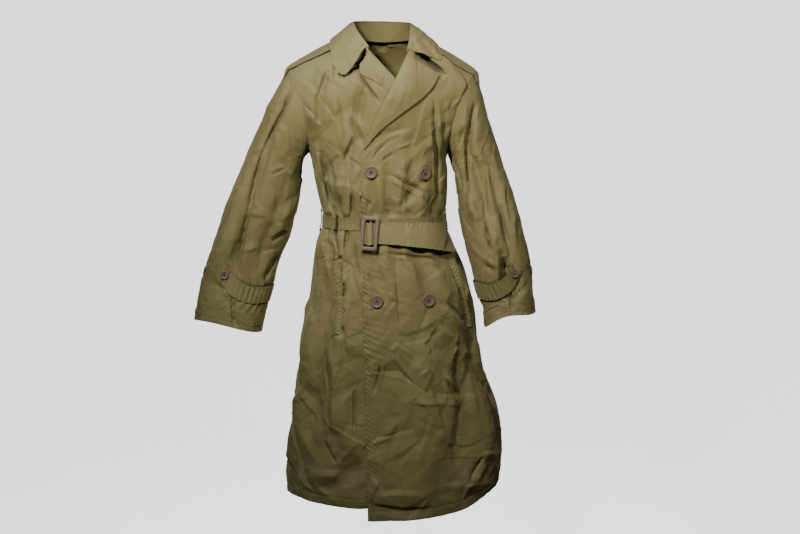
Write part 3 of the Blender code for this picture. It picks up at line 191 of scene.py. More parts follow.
# Sleeve rings from the armhole to the cuff: the outer and inner points in front view, half depth, middle
Ring = namedtuple("Ring", "outer_x outer_z inner_x inner_z half_depth middle_y")
SLEEVE_RIGHT = (
    Ring(-0.217, -0.0655, -0.170, -0.262, 0.078, 0.000),
    Ring(-0.257, -0.142, -0.179, -0.273, 0.077, 0.002),
    Ring(-0.290, -0.212, -0.188, -0.294, 0.075, 0.000),
    Ring(-0.320, -0.280, -0.191, -0.334, 0.073, -0.003),
    Ring(-0.350, -0.348, -0.198, -0.388, 0.071, -0.008),
    Ring(-0.378, -0.420, -0.220, -0.462, 0.068, -0.014),
    Ring(-0.402, -0.490, -0.246, -0.528, 0.065, -0.020),
    Ring(-0.423, -0.560, -0.262, -0.590, 0.058, -0.026),
    Ring(-0.434, -0.612, -0.276, -0.640, 0.060, -0.030),
    Ring(-0.442, -0.654, -0.284, -0.680, 0.062, -0.033),
)
SLEEVE_LEFT = (
    Ring(0.214, -0.0720, 0.152, -0.262, 0.078, 0.000),
    Ring(0.236, -0.152, 0.158, -0.276, 0.077, 0.002),
    Ring(0.258, -0.222, 0.163, -0.300, 0.075, -0.002),
    Ring(0.277, -0.280, 0.168, -0.330, 0.073, -0.008),
    Ring(0.300, -0.348, 0.175, -0.388, 0.071, -0.016),
    Ring(0.321, -0.420, 0.186, -0.452, 0.068, -0.026),
    Ring(0.338, -0.487, 0.203, -0.516, 0.065, -0.036),
    Ring(0.349, -0.555, 0.219, -0.580, 0.058, -0.045),
    Ring(0.353, -0.600, 0.233, -0.626, 0.060, -0.050),
    Ring(0.356, -0.628, 0.238, -0.666, 0.062, -0.054),
)
# Cuffs drawn up in front: by how much of the sleeve, at which angle round it, and how wide
CuffRaise = namedtuple("CuffRaise", "share angle spread")
RIGHT_CUFF_RAISE = CuffRaise(0.036, 70.0, 60.0)
LEFT_CUFF_RAISE = CuffRaise(0.066, 98.0, 48.0)
CUFF_RAISE_START = 0.80
ARMHOLE_BULGE = 0.020
ARMHOLE_BULGE_REACH = 5
SLEEVE_OVAL = 2.15

# Folds pressed into the body and sleeves: a line from one angle and place to another, width and depth.
# The places are heights on the body and shares of the length on a sleeve, and a depth below 0 is inward.
Fold = namedtuple("Fold", "angle_from along_from angle_to along_to width depth")
BODY_FOLDS = (
    Fold(-52, -0.98, -40, -0.52, 0.020, -0.014),
    Fold(-34, -0.90, -30, -0.60, 0.018, 0.008),
    Fold(-70, -1.05, -62, -0.62, 0.024, 0.010),
    Fold(-36, -1.03, -14, -0.95, 0.022, -0.012),
    Fold(10, -1.05, 24, -0.66, 0.022, 0.007),
    Fold(26, -1.04, 52, -0.72, 0.022, -0.010),
    Fold(48, -1.02, 76, -0.66, 0.026, 0.012),
    Fold(72, -1.00, 60, -0.56, 0.018, -0.011),
    Fold(-36, -0.40, -50, -0.24, 0.014, -0.007),
    Fold(-20, -0.36, -34, -0.16, 0.016, -0.006),
    Fold(12, -0.39, 46, -0.30, 0.012, -0.006),
    Fold(16, -0.30, 44, -0.22, 0.014, 0.005),
    Fold(104, -1.06, 112, -0.55, 0.030, -0.012),
    Fold(128, -1.08, 134, -0.52, 0.026, 0.010),
    Fold(150, -1.08, 152, -0.56, 0.026, -0.013),
    Fold(172, -1.08, 170, -0.52, 0.028, 0.010),
    Fold(-166, -1.08, -160, -0.54, 0.026, -0.013),
    Fold(-140, -1.08, -138, -0.52, 0.026, 0.010),
    Fold(-112, -1.08, -108, -0.56, 0.028, -0.012),
    Fold(140, -0.38, 158, -0.20, 0.020, -0.007),
    Fold(-140, -0.38, -158, -0.20, 0.020, -0.007),
)
FOLD_RADIUS = 0.18
ARMPIT_FADE_ROW = 0.85
GATHERS = 17
GATHER_DEPTH = 0.0045
GATHER_REACH = 0.045

RIGHT_SLEEVE_FOLDS = (
    Fold(70, 0.08, 84, 0.80, 0.012, -0.013),
    Fold(128, 0.30, 110, 0.72, 0.014, -0.006),
    Fold(44, 0.30, 52, 0.78, 0.014, 0.005),
    Fold(250, 0.20, 285, 0.75, 0.016, -0.009),
    Fold(215, 0.35, 235, 0.70, 0.014, -0.006),
)
LEFT_SLEEVE_FOLDS = (
    Fold(100, 0.06, 92, 0.58, 0.012, -0.013),
    Fold(66, 0.22, 70, 0.82, 0.012, -0.008),
    Fold(122, 0.20, 118, 0.62, 0.012, 0.005),
    Fold(252, 0.20, 288, 0.75, 0.016, -0.009),
    Fold(215, 0.35, 235, 0.70, 0.014, -0.006),
)
SLEEVE_RADIUS = 0.07
SLEEVE_LENGTH = 0.60

# Collar, from the right notch round the back to the left one; the fall's edge is seen from above
Collar = namedtuple("Collar", "share stand_height lean edge_x edge_y")
COLLAR = (
    Collar(0.000, 0.007, 0.002, -0.055, -0.0950),
    Collar(0.045, 0.012, 0.004, -0.072, -0.0990),
    Collar(0.090, 0.018, 0.007, -0.091, -0.0975),
    Collar(0.135, 0.024, 0.009, -0.107, -0.0850),
    Collar(0.180, 0.029, 0.011, -0.115, -0.0605),
    Collar(0.230, 0.033, 0.012, -0.119, -0.0220),
    Collar(0.300, 0.037, 0.012, -0.114, 0.0220),
    Collar(0.400, 0.043, 0.011, -0.080, 0.0700),
    Collar(0.450, 0.045, 0.010, -0.044, 0.0885),
    Collar(0.500, 0.046, 0.010, 0.000, 0.0950),
    Collar(0.550, 0.045, 0.010, 0.044, 0.0885),
    Collar(0.600, 0.043, 0.011, 0.080, 0.0700),
    Collar(0.700, 0.037, 0.012, 0.117, 0.0220),
    Collar(0.770, 0.033, 0.012, 0.129, -0.0200),
    Collar(0.820, 0.029, 0.011, 0.134, -0.0480),
    Collar(0.870, 0.024, 0.009, 0.137, -0.0600),
    Collar(0.920, 0.018, 0.007, 0.130, -0.0690),
    Collar(1.000, 0.007, 0.002, 0.112, -0.0720),
)
COLLAR_FRONT_SPAN = 0.23
COLLAR_CLEAR = 0.0075
COLLAR_CLEAR_START = 0.3
COLLAR_OUT_POWER = 0.92
COLLAR_DROP_POWER = 1.12
COLLAR_RELAX = 10
COLLAR_FRONT_FADE = 0.03
COLLAR_FOLD_FADE = 0.15

# Lapels: a place on the neckline, the free edge across from it in front view, and how far it stands off
Lapel = namedtuple("Lapel", "share edge_x edge_z lift")
LAPEL_LEFT = (
    Lapel(0.03, -0.034, -0.246, 0.0010),
    Lapel(0.15, -0.006, -0.212, 0.0030),
    Lapel(0.29, 0.042, -0.172, 0.0045),
    Lapel(0.42, 0.090, -0.136, 0.0050),
    Lapel(0.51, 0.114, -0.110, 0.0045),
    Lapel(0.58, 0.126, -0.086, 0.0035),
)
LAPEL_RIGHT = (
    Lapel(0.33, 0.036, -0.138, 0.0010),
    Lapel(0.40, 0.013, -0.119, 0.0020),
    Lapel(0.47, -0.016, -0.099, 0.0035),
    Lapel(0.54, -0.043, -0.085, 0.0040),
    Lapel(0.58, -0.048, -0.064, 0.0035),
)
LAPEL_CLEAR = 0.0030
LAPEL_ROLL_POWER = 0.6
LAPEL_FOLD_FADE = 0.2
LEFT_LAPEL_STAND = 0.0017
RIGHT_LAPEL_STAND = 0.002
LAPEL_STAND_POWER = 1.3
LAPEL_STAND_FADE = 0.35
LAPEL_ROLL_FADE = 0.12

# Shoulder loops, seen from above
Loop = namedtuple("Loop", "x front_y back_y")
SHOULDER_LOOP = (
    Loop(0.098, -0.054, 0.004),
    Loop(0.160, -0.050, 0.012),
    Loop(0.2195, -0.036, 0.020),
)
LOOP_SINK = 0.003
LOOP_RISE = 0.008
LOOP_EDGE_LIFT = 0.0032
LOOP_RELAX = 6
ABOVE_COAT_Z = 0.2

# Belt, buckle and what holds them
BELT_LIFT = LAYER_GAP + CLOTH
BELT_END_GAP = 0.001
TAIL_FREE_FADE = 4.0
Tail = namedtuple("Tail", "angle top_z end_z lift_top lift_end")
TAIL = (
    Tail(-16.5, -0.4100, -0.4480, 0.0098, 0.0112),
    Tail(-13.0, -0.4130, -0.4590, 0.0100, 0.0125),
    Tail(-3.0, -0.4135, -0.4600, 0.0100, 0.0130),
    Tail(25.0, -0.4150, -0.4690, 0.0090, 0.0150),
    Tail(50.0, -0.4190, -0.4800, 0.0080, 0.0140),
    Tail(74.0, -0.4240, -0.4890, 0.0043, 0.0090),
)
TAIL_STEPS = (0.0, 0.33, 0.67, 1.0)
BUCKLE_X = -0.027
BUCKLE_Z = -0.4385
BUCKLE_WIDTH = 0.040
BUCKLE_HEIGHT = 0.077
BUCKLE_BORDER = 0.0085
BUCKLE_CORNER = 0.008
BUCKLE_THICK = 0.0036
BUCKLE_LEAN = 2.0
BAR_WIDTH = 0.0036
BAR_THICK = 0.0016
OVER_BAR = 0.0056
OVER_BAR_INSET = 0.0020
OVER_BAR_FADE = 0.0055
BAR_SINK = 0.0010
BUCKLE_ROUND = 24
BUCKLE_CORNER_STEPS = 10
BUCKLE_SIDE_POWER = 0.55
BUCKLE_FACE_POWER = 0.75
Band = namedtuple("Band", "angle width height")
BANDS = {
    "belt_loop_left": Band(94.0, 0.009, 0.052),
    "belt_loop_right": Band(-87.0, 0.009, 0.052),
    "belt_keeper": Band(-44.0, 0.008, 0.040),
}
BAND_RADIUS = 0.145
BAND_CLEAR = 0.0018
BAND_BEND = 0.14
BAND_RIB = 0.0004
BAND_RIBS = 3
BAND_PAST_BELT = 0.0015

# Pocket welts
Welt = namedtuple("Welt", "angle_top top_z angle_end end_z")
WELTS = {
    "pocket_welt_left": Welt(60.0, -0.515, 66.0, -0.668),
    "pocket_welt_right": Welt(-37.5, -0.520, -30.5, -0.665),
}
WELT_RADIUS = 0.165
WELT_WIDTH = 0.020
WELT_DIP = 0.006

# Buttons
BUTTON_RADIUS = 0.0143
BUTTON_THICK = 0.0042
CUFF_BUTTON_RADIUS = 0.0100
CUFF_BUTTON_THICK = 0.0034
BUTTON_ROUND = 48
HOLE_PLACE = 0.21
HOLE_RADIUS = 0.085
BUTTON_SPIN = 17.0
BUTTON_SPIN_STEP = 38.0
THREAD_ROUND = 8
THREAD_WIDE = 0.0005
THREAD_HIGH = 0.0004
THREAD_APART = 0.35
THREAD_STEPS = 9
THREAD_SEAT = 0.66
THREAD_ARCH = 0.10
THREAD_DIVE = 0.35
THREAD_DIVE_START = 0.9
# Half of a button's section, from its back to the dished front, in shares of its radius and thickness
Profile = namedtuple("Profile", "share height")
BUTTON_FORM = (
    Profile(0.70, 0.10),
    Profile(0.84, 0.16),
    Profile(0.96, 0.36),
    Profile(1.00, 0.56),
    Profile(0.99, 0.76),
    Profile(0.95, 0.92),
    Profile(0.90, 0.99),
    Profile(0.85, 1.00),
    Profile(0.79, 0.97),
    Profile(0.73, 0.88),
    Profile(0.67, 0.77),
    Profile(0.60, 0.71),
    Profile(0.45, 0.66),
)

# Cuff straps: the stretch of the sleeve's length and of its round that they cover, in shares and degrees
StrapPlace = namedtuple("StrapPlace", "angle share")
STRAP_LINE = (
    StrapPlace(52.0, 0.708),
    StrapPlace(70.0, 0.724),
    StrapPlace(90.0, 0.764),
    StrapPlace(112.0, 0.784),
    StrapPlace(150.0, 0.778),
    StrapPlace(200.0, 0.772),
)
STRAP_WIDTH = 0.074
STRAP_START = 200.0
STRAP_TIP = 54.0
STRAP_ROUND = 22.0
STRAP_GAP = 0.0018
STRAP_SEWN = 40.0
STRAP_PULL = 0.0035
PULL_PAST_TIP = 4.0
PULL_TIP_FADE = 20.0
PULL_SHORT = 6.0
PULL_START_FADE = 40.0
PULL_REACH = 0.008
PULL_FADE = 0.012
STRAP_GAPE_ANGLE = 108.0
STRAP_GAPE_SPREAD = 26.0

TINY = 1e-4
MILLIMETRE = 0.001

# Stitching: the size of a stitch, and how far the rows lie from the edges
STITCH_PITCH = 0.0036
STITCH_LENGTH = 0.0026
STITCH_WIDTH = 0.0007
STITCH_HEIGHT = 0.0003
EDGE_INSET = 0.007
STRAP_INSET = 0.004
HEM_INSET = 0.021

# Grooves that the rows of stitching press into the cloth
Groove = namedtuple("Groove", "inset width depth")
EDGE_GROOVE = Groove(0.007, 0.0022, 0.0007)
HEM_GROOVE = Groove(0.022, 0.0025, 0.0007)
CUFF_GROOVE = Groove(0.020, 0.0025, 0.0007)
COLLAR_GROOVE = Groove(0.007, 0.002, 0.0002)

# Gathers beside sewn edges: the length of a wave, how far it reaches from the edge, height and slant
Gather = namedtuple("Gather", "wave reach height slant")
EDGE_GATHER = Gather(0.0115, 0.014, 0.0008, 0.7)
WIDE_GATHER = Gather(0.0150, 0.050, 0.0006, 0.35)
HEM_GATHER = Gather(0.019, 0.022, 0.0006, 0.4)
CUFF_GATHER = Gather(0.017, 0.020, 0.0009, 0.4)
PULL_GATHER = Gather(0.021, 0.030, 0.0020, 0.3)
COLLAR_GATHER = Gather(0.010, 0.012, 0.0003, 0.3)
LAPEL_GATHER = Gather(0.009, 0.012, 0.0003, 0.3)
BELT_GATHER = Gather(0.011, 1.0, 0.0006, 0.3)
TAIL_GATHER = Gather(0.010, 0.011, 0.0007, 0.2)
WELT_GATHER = Gather(0.0095, 0.014, 0.0009, 0.7)
STRAP_GATHER = Gather(0.010, 0.010, 0.0005, 0.3)
STRAP_RIBS = Gather(0.012, 1.0, 0.0011, 0.35)
LOOP_GATHER = Gather(0.009, 0.008, 0.0004, 0.2)

# Crumple: the heights of large, middle and small facets, and how far apart their corners lie
Crushed = namedtuple("Crushed", "large middle small")
BODY_CRUMPLE = Crushed(0.0060, 0.0028, 0.0008)
SLEEVE_CRUMPLE = Crushed(0.0040, 0.0018, 0.0008)
COLLAR_CRUMPLE = Crushed(0.0012, 0.0012, 0.0004)
STAND_CRUMPLE = Crushed(0.0, 0.0006, 0.0004)
LAPEL_CRUMPLE = Crushed(0.0008, 0.0008, 0.0004)
BELT_CRUMPLE = Crushed(0.0, 0.0008, 0.0005)
TAIL_CRUMPLE = Crushed(0.0014, 0.0018, 0.0005)
WELT_CRUMPLE = Crushed(0.0, 0.0012, 0.0004)
STRAP_CRUMPLE = Crushed(0.0, 0.0010, 0.0004)
LOOP_CRUMPLE = Crushed(0.0, 0.0006, 0.0003)
FACET_SPACING = Crushed(0.045, 0.022, 0.011)

# Small creases strewn over a piece: how many, where in millimetres, their lean from upright, their size
Strewn = namedtuple("Strewn", "count across down lean size")
FINE_SIZE = 0.50
STREWN_TURN = 30.0
STREWN_LENGTH = (40.0, 170.0)
STREWN_STEEP = (4.5, 7.0)
STREWN_GENTLE = (14.0, 34.0)
STREWN_HEIGHT = (0.4, 1.0)
STREWN_BOW = 0.05
FRONT_STREWN = (
    Strewn(100, (-320, 320), (-1080, 20), 34.0, 1.0),
    Strewn(320, (-320, 320), (-1080, 20), 40.0, FINE_SIZE),
)
BACK_STREWN = (
    Strewn(110, (260, 880), (-1080, 0), 30.0, 1.0),
    Strewn(320, (260, 880), (-1080, 0), 40.0, FINE_SIZE),
)
SLEEVE_STREWN = (
    Strewn(60, (-20, 460), (0, 600), 34.0, 1.0),
    Strewn(160, (-20, 460), (0, 600), 40.0, FINE_SIZE),
)

# Where creases and crumple grow calm or fade out
SEEN_START = 0.05
SEEN_FADE = 0.35
CREASE_TAPER = 3.5
EDGE_CROWD = 0.45
CHEST_CALM = 0.75
CHEST_Z = -0.40
CHEST_FADE = 0.10
SLEEVE_CALM = 0.75
SLEEVE_BLEND = 20.0
SIDE_FADE = 0.05
BACK_SIDE_FADE = 0.03
SHOULDER_FADE = 0.10
ARMHOLE_FADE = 0.06
BELT_HOLD = 0.004
BELT_FADE = 0.016
EDGE_TOP_ROW = 1.02
EDGE_TOP_FADE = 0.05
WIDE_LOW_Z = -0.76
WIDE_LOW_FADE = 0.06
WIDE_HIGH_Z = -0.47
WIDE_HIGH_FADE = 0.04

# Creases seen from the front, in pixels of the 800 x 534 frame: a line from one end to the other, its
# widths to the left and right, its height in millimetres, and how far its middle bows
CREASE_SPREAD = 1.6
CREASE_SHARE = 0.8
SHARP_ANGLE = 4.0
Crease = namedtuple("Crease", "from_u from_v to_u to_v left right height bow", defaults=(0,))
RIGHT_FRONT_CREASES = (
    # Chest
    Crease(328, 68, 317, 98, 3, 5, -4.5),
    Crease(317, 94, 319, 126, 3, 5, -4),
    Crease(306, 112, 322, 126, 6, 3, 3.5),
    Crease(319, 127, 329, 108, 5, 3, 4),
    Crease(333, 82, 346, 172, 9, 5, 7),
    Crease(344, 78, 352, 104, 6, 5, 3.5),
    Crease(346, 165, 333, 202, 5, 9, 5),
    Crease(366, 84, 357, 124, 8, 4, -6),
    Crease(351, 118, 362, 144, 4, 4, -5.5),
    Crease(354, 136, 345, 158, 3, 5, -4.5),
    Crease(345, 156, 362, 168, 4, 3, -4),
    Crease(340, 168, 352, 196, 5, 4, 4),
    Crease(315, 140, 326, 190, 5, 3, 4),
    Crease(352, 170, 356, 200, 4, 3, 3),
    # Pleats drawn in by the belt
    Crease(342, 186, 342, 216, 3, 3, 4),
    Crease(338, 196, 340, 218, 2, 2, -4),
    Crease(349, 188, 350, 216, 3, 3, 4),
    Crease(353, 192, 353, 216, 2, 2, -4),
    Crease(331, 198, 333, 217, 3, 3, 3),
    Crease(328, 228, 331, 246, 2.5, 2.5, 3),
    Crease(334, 230, 337, 252, 2.5, 2.5, -3),
    Crease(341, 232, 345, 258, 3, 3, 3.5),
    Crease(349, 230, 346, 246, 2.5, 2.5, -3),
    Crease(354, 232, 350, 262, 3, 3, 3),
    # Crumples over the pocket
    Crease(319, 260, 332, 256, 3, 3, 3),
    Crease(331, 256, 342, 263, 3, 2, 3),
    Crease(334, 264, 342, 256, 2, 2, -3),
    # Skirt
    Crease(344, 244, 345, 342, 6, 5, 6),
    Crease(357, 262, 358, 300, 4, 4, -4),
    Crease(345, 310, 327, 348, 4, 4, -7),
    Crease(338, 308, 322, 344, 6, 3, 5),
    Crease(331, 344, 336, 402, 5, 6, 5),
    Crease(325, 346, 330, 440, 5, 4, -7),
    Crease(343, 330, 346, 362, 3, 3, -5),
    Crease(354, 390, 354, 436, 5, 6, -5),
    Crease(345, 380, 348, 440, 7, 4, 3.5),
    Crease(324, 442, 336, 463, 4, 3, -4),
    Crease(336, 463, 346, 446, 3, 4, -4),
    Crease(331, 430, 335, 462, 4, 4, 5),
    Crease(341, 461, 358, 441, 4, 6, 4),
    Crease(303, 372, 319, 394, 5, 4, 4),
    Crease(310, 336, 315, 392, 6, 5, 4),
    Crease(300, 420, 318, 470, 8, 8, 3.5),
    Crease(300, 470, 352, 478, 8, 6, 4),
)
# Deep hollows under edges, in the same pixels
RIGHT_FRONT_HOLLOWS = (
    Crease(330, 64, 317, 99, 3, 5, -7),
    Crease(317, 93, 319, 128, 4, 6, -6),
    Crease(308, 110, 322, 128, 7, 2.5, 5),
    Crease(333, 82, 346, 172, 11, 5, 6),
    Crease(365, 84, 358, 126, 9, 5, -10),
    Crease(350, 116, 363, 148, 4, 5, -8),
    Crease(354, 136, 344, 162, 3, 7, -7),
    Crease(367, 48, 357, 74, 5, 1.5, -40),
    Crease(364, 58, 338, 77, 1.5, 6, -34),
    Crease(357, 71, 381, 104, 4, 1.5, -12),
    Crease(335, 64, 332, 80, 3, 1.5, -8),
    Crease(321, 150, 332, 209, 2.4, 3.2, -17, -1),
    Crease(333, 204, 336, 220, 2.2, 2.2, -6),
    Crease(340, 192, 342, 220, 2.2, 2.8, -9),
    Crease(352, 194, 352, 220, 2.2, 2.4, -7),
    Crease(328, 224, 330, 248, 2, 2.2, -6),
    Crease(334, 224, 338, 258, 2.2, 2.6, -8),
    Crease(347, 224, 345, 254, 2, 2.4, -7),
    Crease(346, 306, 326, 352, 2, 2.4, -8),
    Crease(342, 258, 340, 302, 6, 1.5, -9),
    Crease(340, 296, 334, 328, 4, 1.5, -9),
    Crease(317, 260, 328, 257, 1.2, 1.8, -5),
    Crease(330, 263, 344, 256, 1.4, 2, -6),
    Crease(325, 344, 331, 442, 2, 2.4, -8),
    Crease(354, 386, 354, 440, 2, 2.6, -6),
    Crease(324, 440, 337, 465, 2, 2, -6),
)
LEFT_FRONT_HOLLOWS = (
    Crease(366, 150, 410, 128, 3, 8, -3, 3),
    Crease(402, 160, 412, 188, 4, 7, 3),
    Crease(385, 186, 402, 216, 7, 4, 3.5),
    Crease(416, 50, 447, 76, 7, 1.5, -46),
    Crease(384, 253, 442, 260, 3, 3, -8),
    Crease(372, 162, 386, 145, 1.6, 1.8, -3, 2),
    Crease(386, 173, 430, 197, 1.5, 1.8, -2.6),
    Crease(434, 96, 438, 200, 1.8, 2, -6),
    Crease(447, 302, 471, 327, 2, 2.4, -8),
    Crease(458, 350, 455, 390, 1.8, 2.2, -6),
    Crease(381, 362, 373, 394, 1.8, 2.2, -6, 1),
    Crease(445, 379, 457, 400, 1.6, 2, -5),
    Crease(484, 456, 470, 480, 2, 2, -7),
)
RIGHT_SLEEVE_HOLLOWS = (
    Crease(294, 84, 262, 156, 3, 4, -9),
    Crease(263, 148, 248, 216, 3, 4, -8),
    Crease(249, 208, 234, 282, 3, 3.6, -8),
    Crease(288, 231, 272, 242, 1.6, 1.8, -6),
    Crease(279, 254, 263, 282, 1.8, 1.8, -6),
    Crease(285, 68, 292, 92, 1.6, 2.4, -6),
    Crease(231, 292, 234, 330, 2, 3.4, -8),
)
LEFT_SLEEVE_HOLLOWS = (
    Crease(475, 100, 467, 150, 3, 3.4, -9),
    Crease(468, 138, 465, 196, 3, 3.6, -11),
    Crease(453, 153, 462, 192, 1.8, 1.8, -7),
    Crease(486, 221, 491, 256, 1.6, 1.8, -7),
    Crease(499, 203, 508, 248, 1.6, 1.8, -7),
    Crease(506, 256, 508, 292, 9, 2.5, -26),
    Crease(490, 290, 510, 298, 1.5, 4, -9),
    Crease(509, 288, 513, 312, 2.4, 3, -8),
)
LEFT_FRONT_CREASES = (
    # Chest, drawn from the first button
    Crease(366, 141, 414, 127, 4, 6, -2, 2),
    Crease(365, 149, 408, 131, 2, 3, 2, 3),
    Crease(372, 161, 404, 137, 2, 3, -2.4, 5),
    Crease(377, 165, 412, 144, 2, 4, 2.2, 4),
    Crease(364, 158, 372, 146, 2, 2, 1.8),
    Crease(381, 161, 400, 153, 2, 2, -1.8, 1),
    Crease(404, 130, 400, 160, 3, 6, 2.2),
    Crease(392, 150, 418, 142, 2, 3, 1.6),
    Crease(383, 177, 424, 199, 2, 3, 2.6),
    Crease(386, 173, 428, 195, 2, 2.5, -2.4),
    Crease(391, 170, 432, 193, 2, 3, 2.2),
    Crease(408, 184, 418, 172, 2, 3, -2),
    Crease(386, 196, 406, 204, 5, 2, 2.4),
    Crease(406, 196, 404, 214, 2, 5, 2.2),
    Crease(422, 188, 434, 212, 2, 3, -2.2),
    # Upright pleats by the armhole
    Crease(430, 112, 433, 204, 3, 3, 4.5),
    Crease(434, 96, 437, 196, 2.5, 2.5, -4.5),
    Crease(439, 100, 441, 200, 3, 3, 4),
    Crease(432, 176, 439, 200, 2, 2.5, -3.5),
    Crease(446, 96, 443, 160, 3, 3, -3),
    # Skirt: the facing's edge, and what the buttons draw
    Crease(395, 254, 401, 342, 2, 6, -3),
    Crease(399, 254, 405, 340, 3, 10, 3),
    Crease(386, 304, 371, 314, 3, 3, -3.5, -2),
    Crease(388, 292, 398, 302, 2.5, 2.5, 3),
    Crease(382, 322, 398, 300, 3, 3, 2.5),
    Crease(402, 334, 440, 316, 4, 8, 3.5, -3),
    Crease(440, 304, 468, 331, 5, 4, 5.5),
    Crease(447, 303, 469, 324, 2.5, 4, -5),
    Crease(456, 262, 471, 304, 4, 3, 4),
    Crease(436, 262, 448, 300, 6, 5, 3),
    Crease(412, 262, 418, 276, 3, 3, 2.5),
    Crease(397, 344, 413, 357, 2.5, 2.5, 4),
    Crease(400, 341, 408, 358, 2, 2, -3),
    Crease(390, 352, 400, 342, 3, 3, 3),
    Crease(437, 326, 464, 346, 5, 5, 5.5),
    Crease(463, 345, 480, 370, 6, 4, 5.5),
    Crease(463, 344, 449, 370, 5, 4, 5),
    Crease(449, 368, 454, 420, 5, 5, 4.5),
    Crease(458, 352, 455, 386, 4, 5, -4),
    Crease(419, 378, 429, 367, 2.5, 2.5, 3),
    Crease(442, 374, 460, 394, 2.5, 3, 5),
    Crease(444, 380, 456, 398, 2, 3, -4),
    Crease(470, 372, 478, 420, 5, 5, 4),
    Crease(380, 364, 373, 392, 4, 3, -4.5, 1),
    Crease(384, 362, 379, 392, 4, 3, 3.5),
    Crease(392, 437, 369, 446, 3, 3, 3.5),
    Crease(396, 420, 384, 446, 5, 5, 3),
    Crease(412, 400, 400, 440, 8, 8, 4),
    Crease(440, 432, 454, 448, 4, 4, 4),
    Crease(430, 420, 424, 480, 9, 9, -4),
    Crease(481, 455, 503, 453, 4, 4, 6),
    Crease(488, 462, 474, 484, 4, 4, 5),
    Crease(482, 458, 470, 478, 4, 3, -4.5),
    Crease(466, 470, 474, 494, 4, 4, 4),
    Crease(372, 497, 430, 497, 7, 5, 6, 3),
    Crease(368, 504, 434, 508, 5, 4, -9, -4),
    Crease(380, 478, 369, 503, 6, 3, 4),
    Crease(440, 484, 462, 492, 6, 6, 4),
)
RIGHT_SLEEVE_CREASES = (
    Crease(294, 84, 262, 152, 4, 3.5, -9),
    Crease(262, 150, 247, 214, 4, 3.5, -8),
    Crease(298, 88, 264, 158, 2.5, 8, 5),
    Crease(266, 150, 250, 214, 2.5, 8, 4.5),
    Crease(248, 212, 234, 280, 7, 3, -9),
    Crease(252, 214, 239, 276, 2.5, 9, 5),
    Crease(250, 154, 266, 146, 2.5, 3, 3),
    Crease(270, 176, 288, 168, 2, 3, -3),
    Crease(268, 172, 287, 165, 3, 2, 2.5),
    Crease(302, 152, 288, 180, 6, 6, 5),
    Crease(289, 176, 285, 222, 6, 6, 5),
    Crease(249, 214, 266, 216, 3, 5, 4),
    Crease(266, 216, 287, 232, 4, 4, 4),
    Crease(288, 231, 272, 242, 3, 3, -7),
    Crease(286, 228, 268, 238, 5, 3, 4),
    Crease(240, 254, 258, 246, 3, 4, 3.5),
    Crease(258, 240, 256, 270, 4, 4, 4.5),
    Crease(262, 252, 276, 248, 2.5, 3, -3.5),
    Crease(279, 254, 263, 282, 3, 3, -6),
    Crease(270, 252, 260, 280, 4, 4, 3),
    Crease(290, 196, 283, 214, 3, 3, -3),
    Crease(238, 224, 226, 268, 8, 7, 4),
)
LEFT_SLEEVE_CREASES = (
    Crease(474, 104, 467, 146, 4, 4, -8),
    Crease(468, 140, 465, 194, 4, 4, -10),
    Crease(470, 112, 459, 152, 4, 3, 5),
    Crease(478, 116, 472, 170, 3, 6, 5),
    Crease(464, 126, 459, 150, 2.5, 2.5, -6),
    Crease(453, 154, 462, 191, 3, 3, -6),
    Crease(449, 158, 459, 184, 3, 3, 4),
    Crease(458, 156, 464, 196, 2.5, 3, 4.5),
    Crease(451, 146, 445, 158, 3, 3, -4),
    Crease(468, 194, 476, 214, 4, 4, 5),
    Crease(463, 196, 480, 222, 3, 5, 4),
    Crease(480, 222, 468, 210, 4, 4, 3),
    Crease(483, 155, 486, 226, 2.5, 3, -4.5),
    Crease(487, 150, 489, 228, 3, 5, 4.5),
    Crease(486, 222, 491, 254, 3, 3, -6),
    Crease(493, 216, 497, 256, 4, 4, 4.5),
    Crease(499, 204, 508, 246, 3, 3, -6),
    Crease(505, 188, 511, 226, 2.5, 3, -4.5),
    Crease(503, 182, 509, 224, 3, 2.5, 4),
    Crease(512, 200, 516, 258, 5, 4, 4.5),
    Crease(486, 264, 495, 274, 2.5, 2.5, -5),
    Crease(484, 256, 496, 268, 3, 3, 4),
    Crease(501, 248, 508, 272, 5, 4, -10),
    Crease(496, 246, 501, 274, 3, 3, 4),
    Crease(492, 118, 496, 156, 5, 5, 3.5),
    Crease(515, 282, 524, 294, 4, 4, -4),
)
COLLAR_CREASES = (
    Crease(356, 32, 344, 58, 3, 5, 2.2),
    Crease(362, 42, 350, 64, 4, 3, -2),
    Crease(349, 42, 338, 62, 3, 4, 2),
    Crease(367, 44, 351, 53, 3, 3, 1.8),
    Crease(343, 58, 353, 72, 3, 4, -1.8),
    Crease(413, 34, 424, 56, 3, 5, 2),
    Crease(421, 38, 437, 58, 4, 3, -1.8),
    Crease(432, 46, 442, 60, 3, 3, 1.6),
)
LAPEL_CREASES = (
    Crease(405, 82, 399, 108, 4, 4, 1.6),
    Crease(396, 88, 392, 112, 3, 4, -1.4),
    Crease(413, 92, 412, 110, 4, 3, -1.2),
    Crease(380, 104, 396, 96, 4, 4, 1.2),
    Crease(372, 120, 384, 110, 3, 3, 1),
    Crease(384, 77, 382, 93, 1.5, 2.5, -3.5),
    Crease(376, 70, 380, 86, 2, 2, 1.6),
)
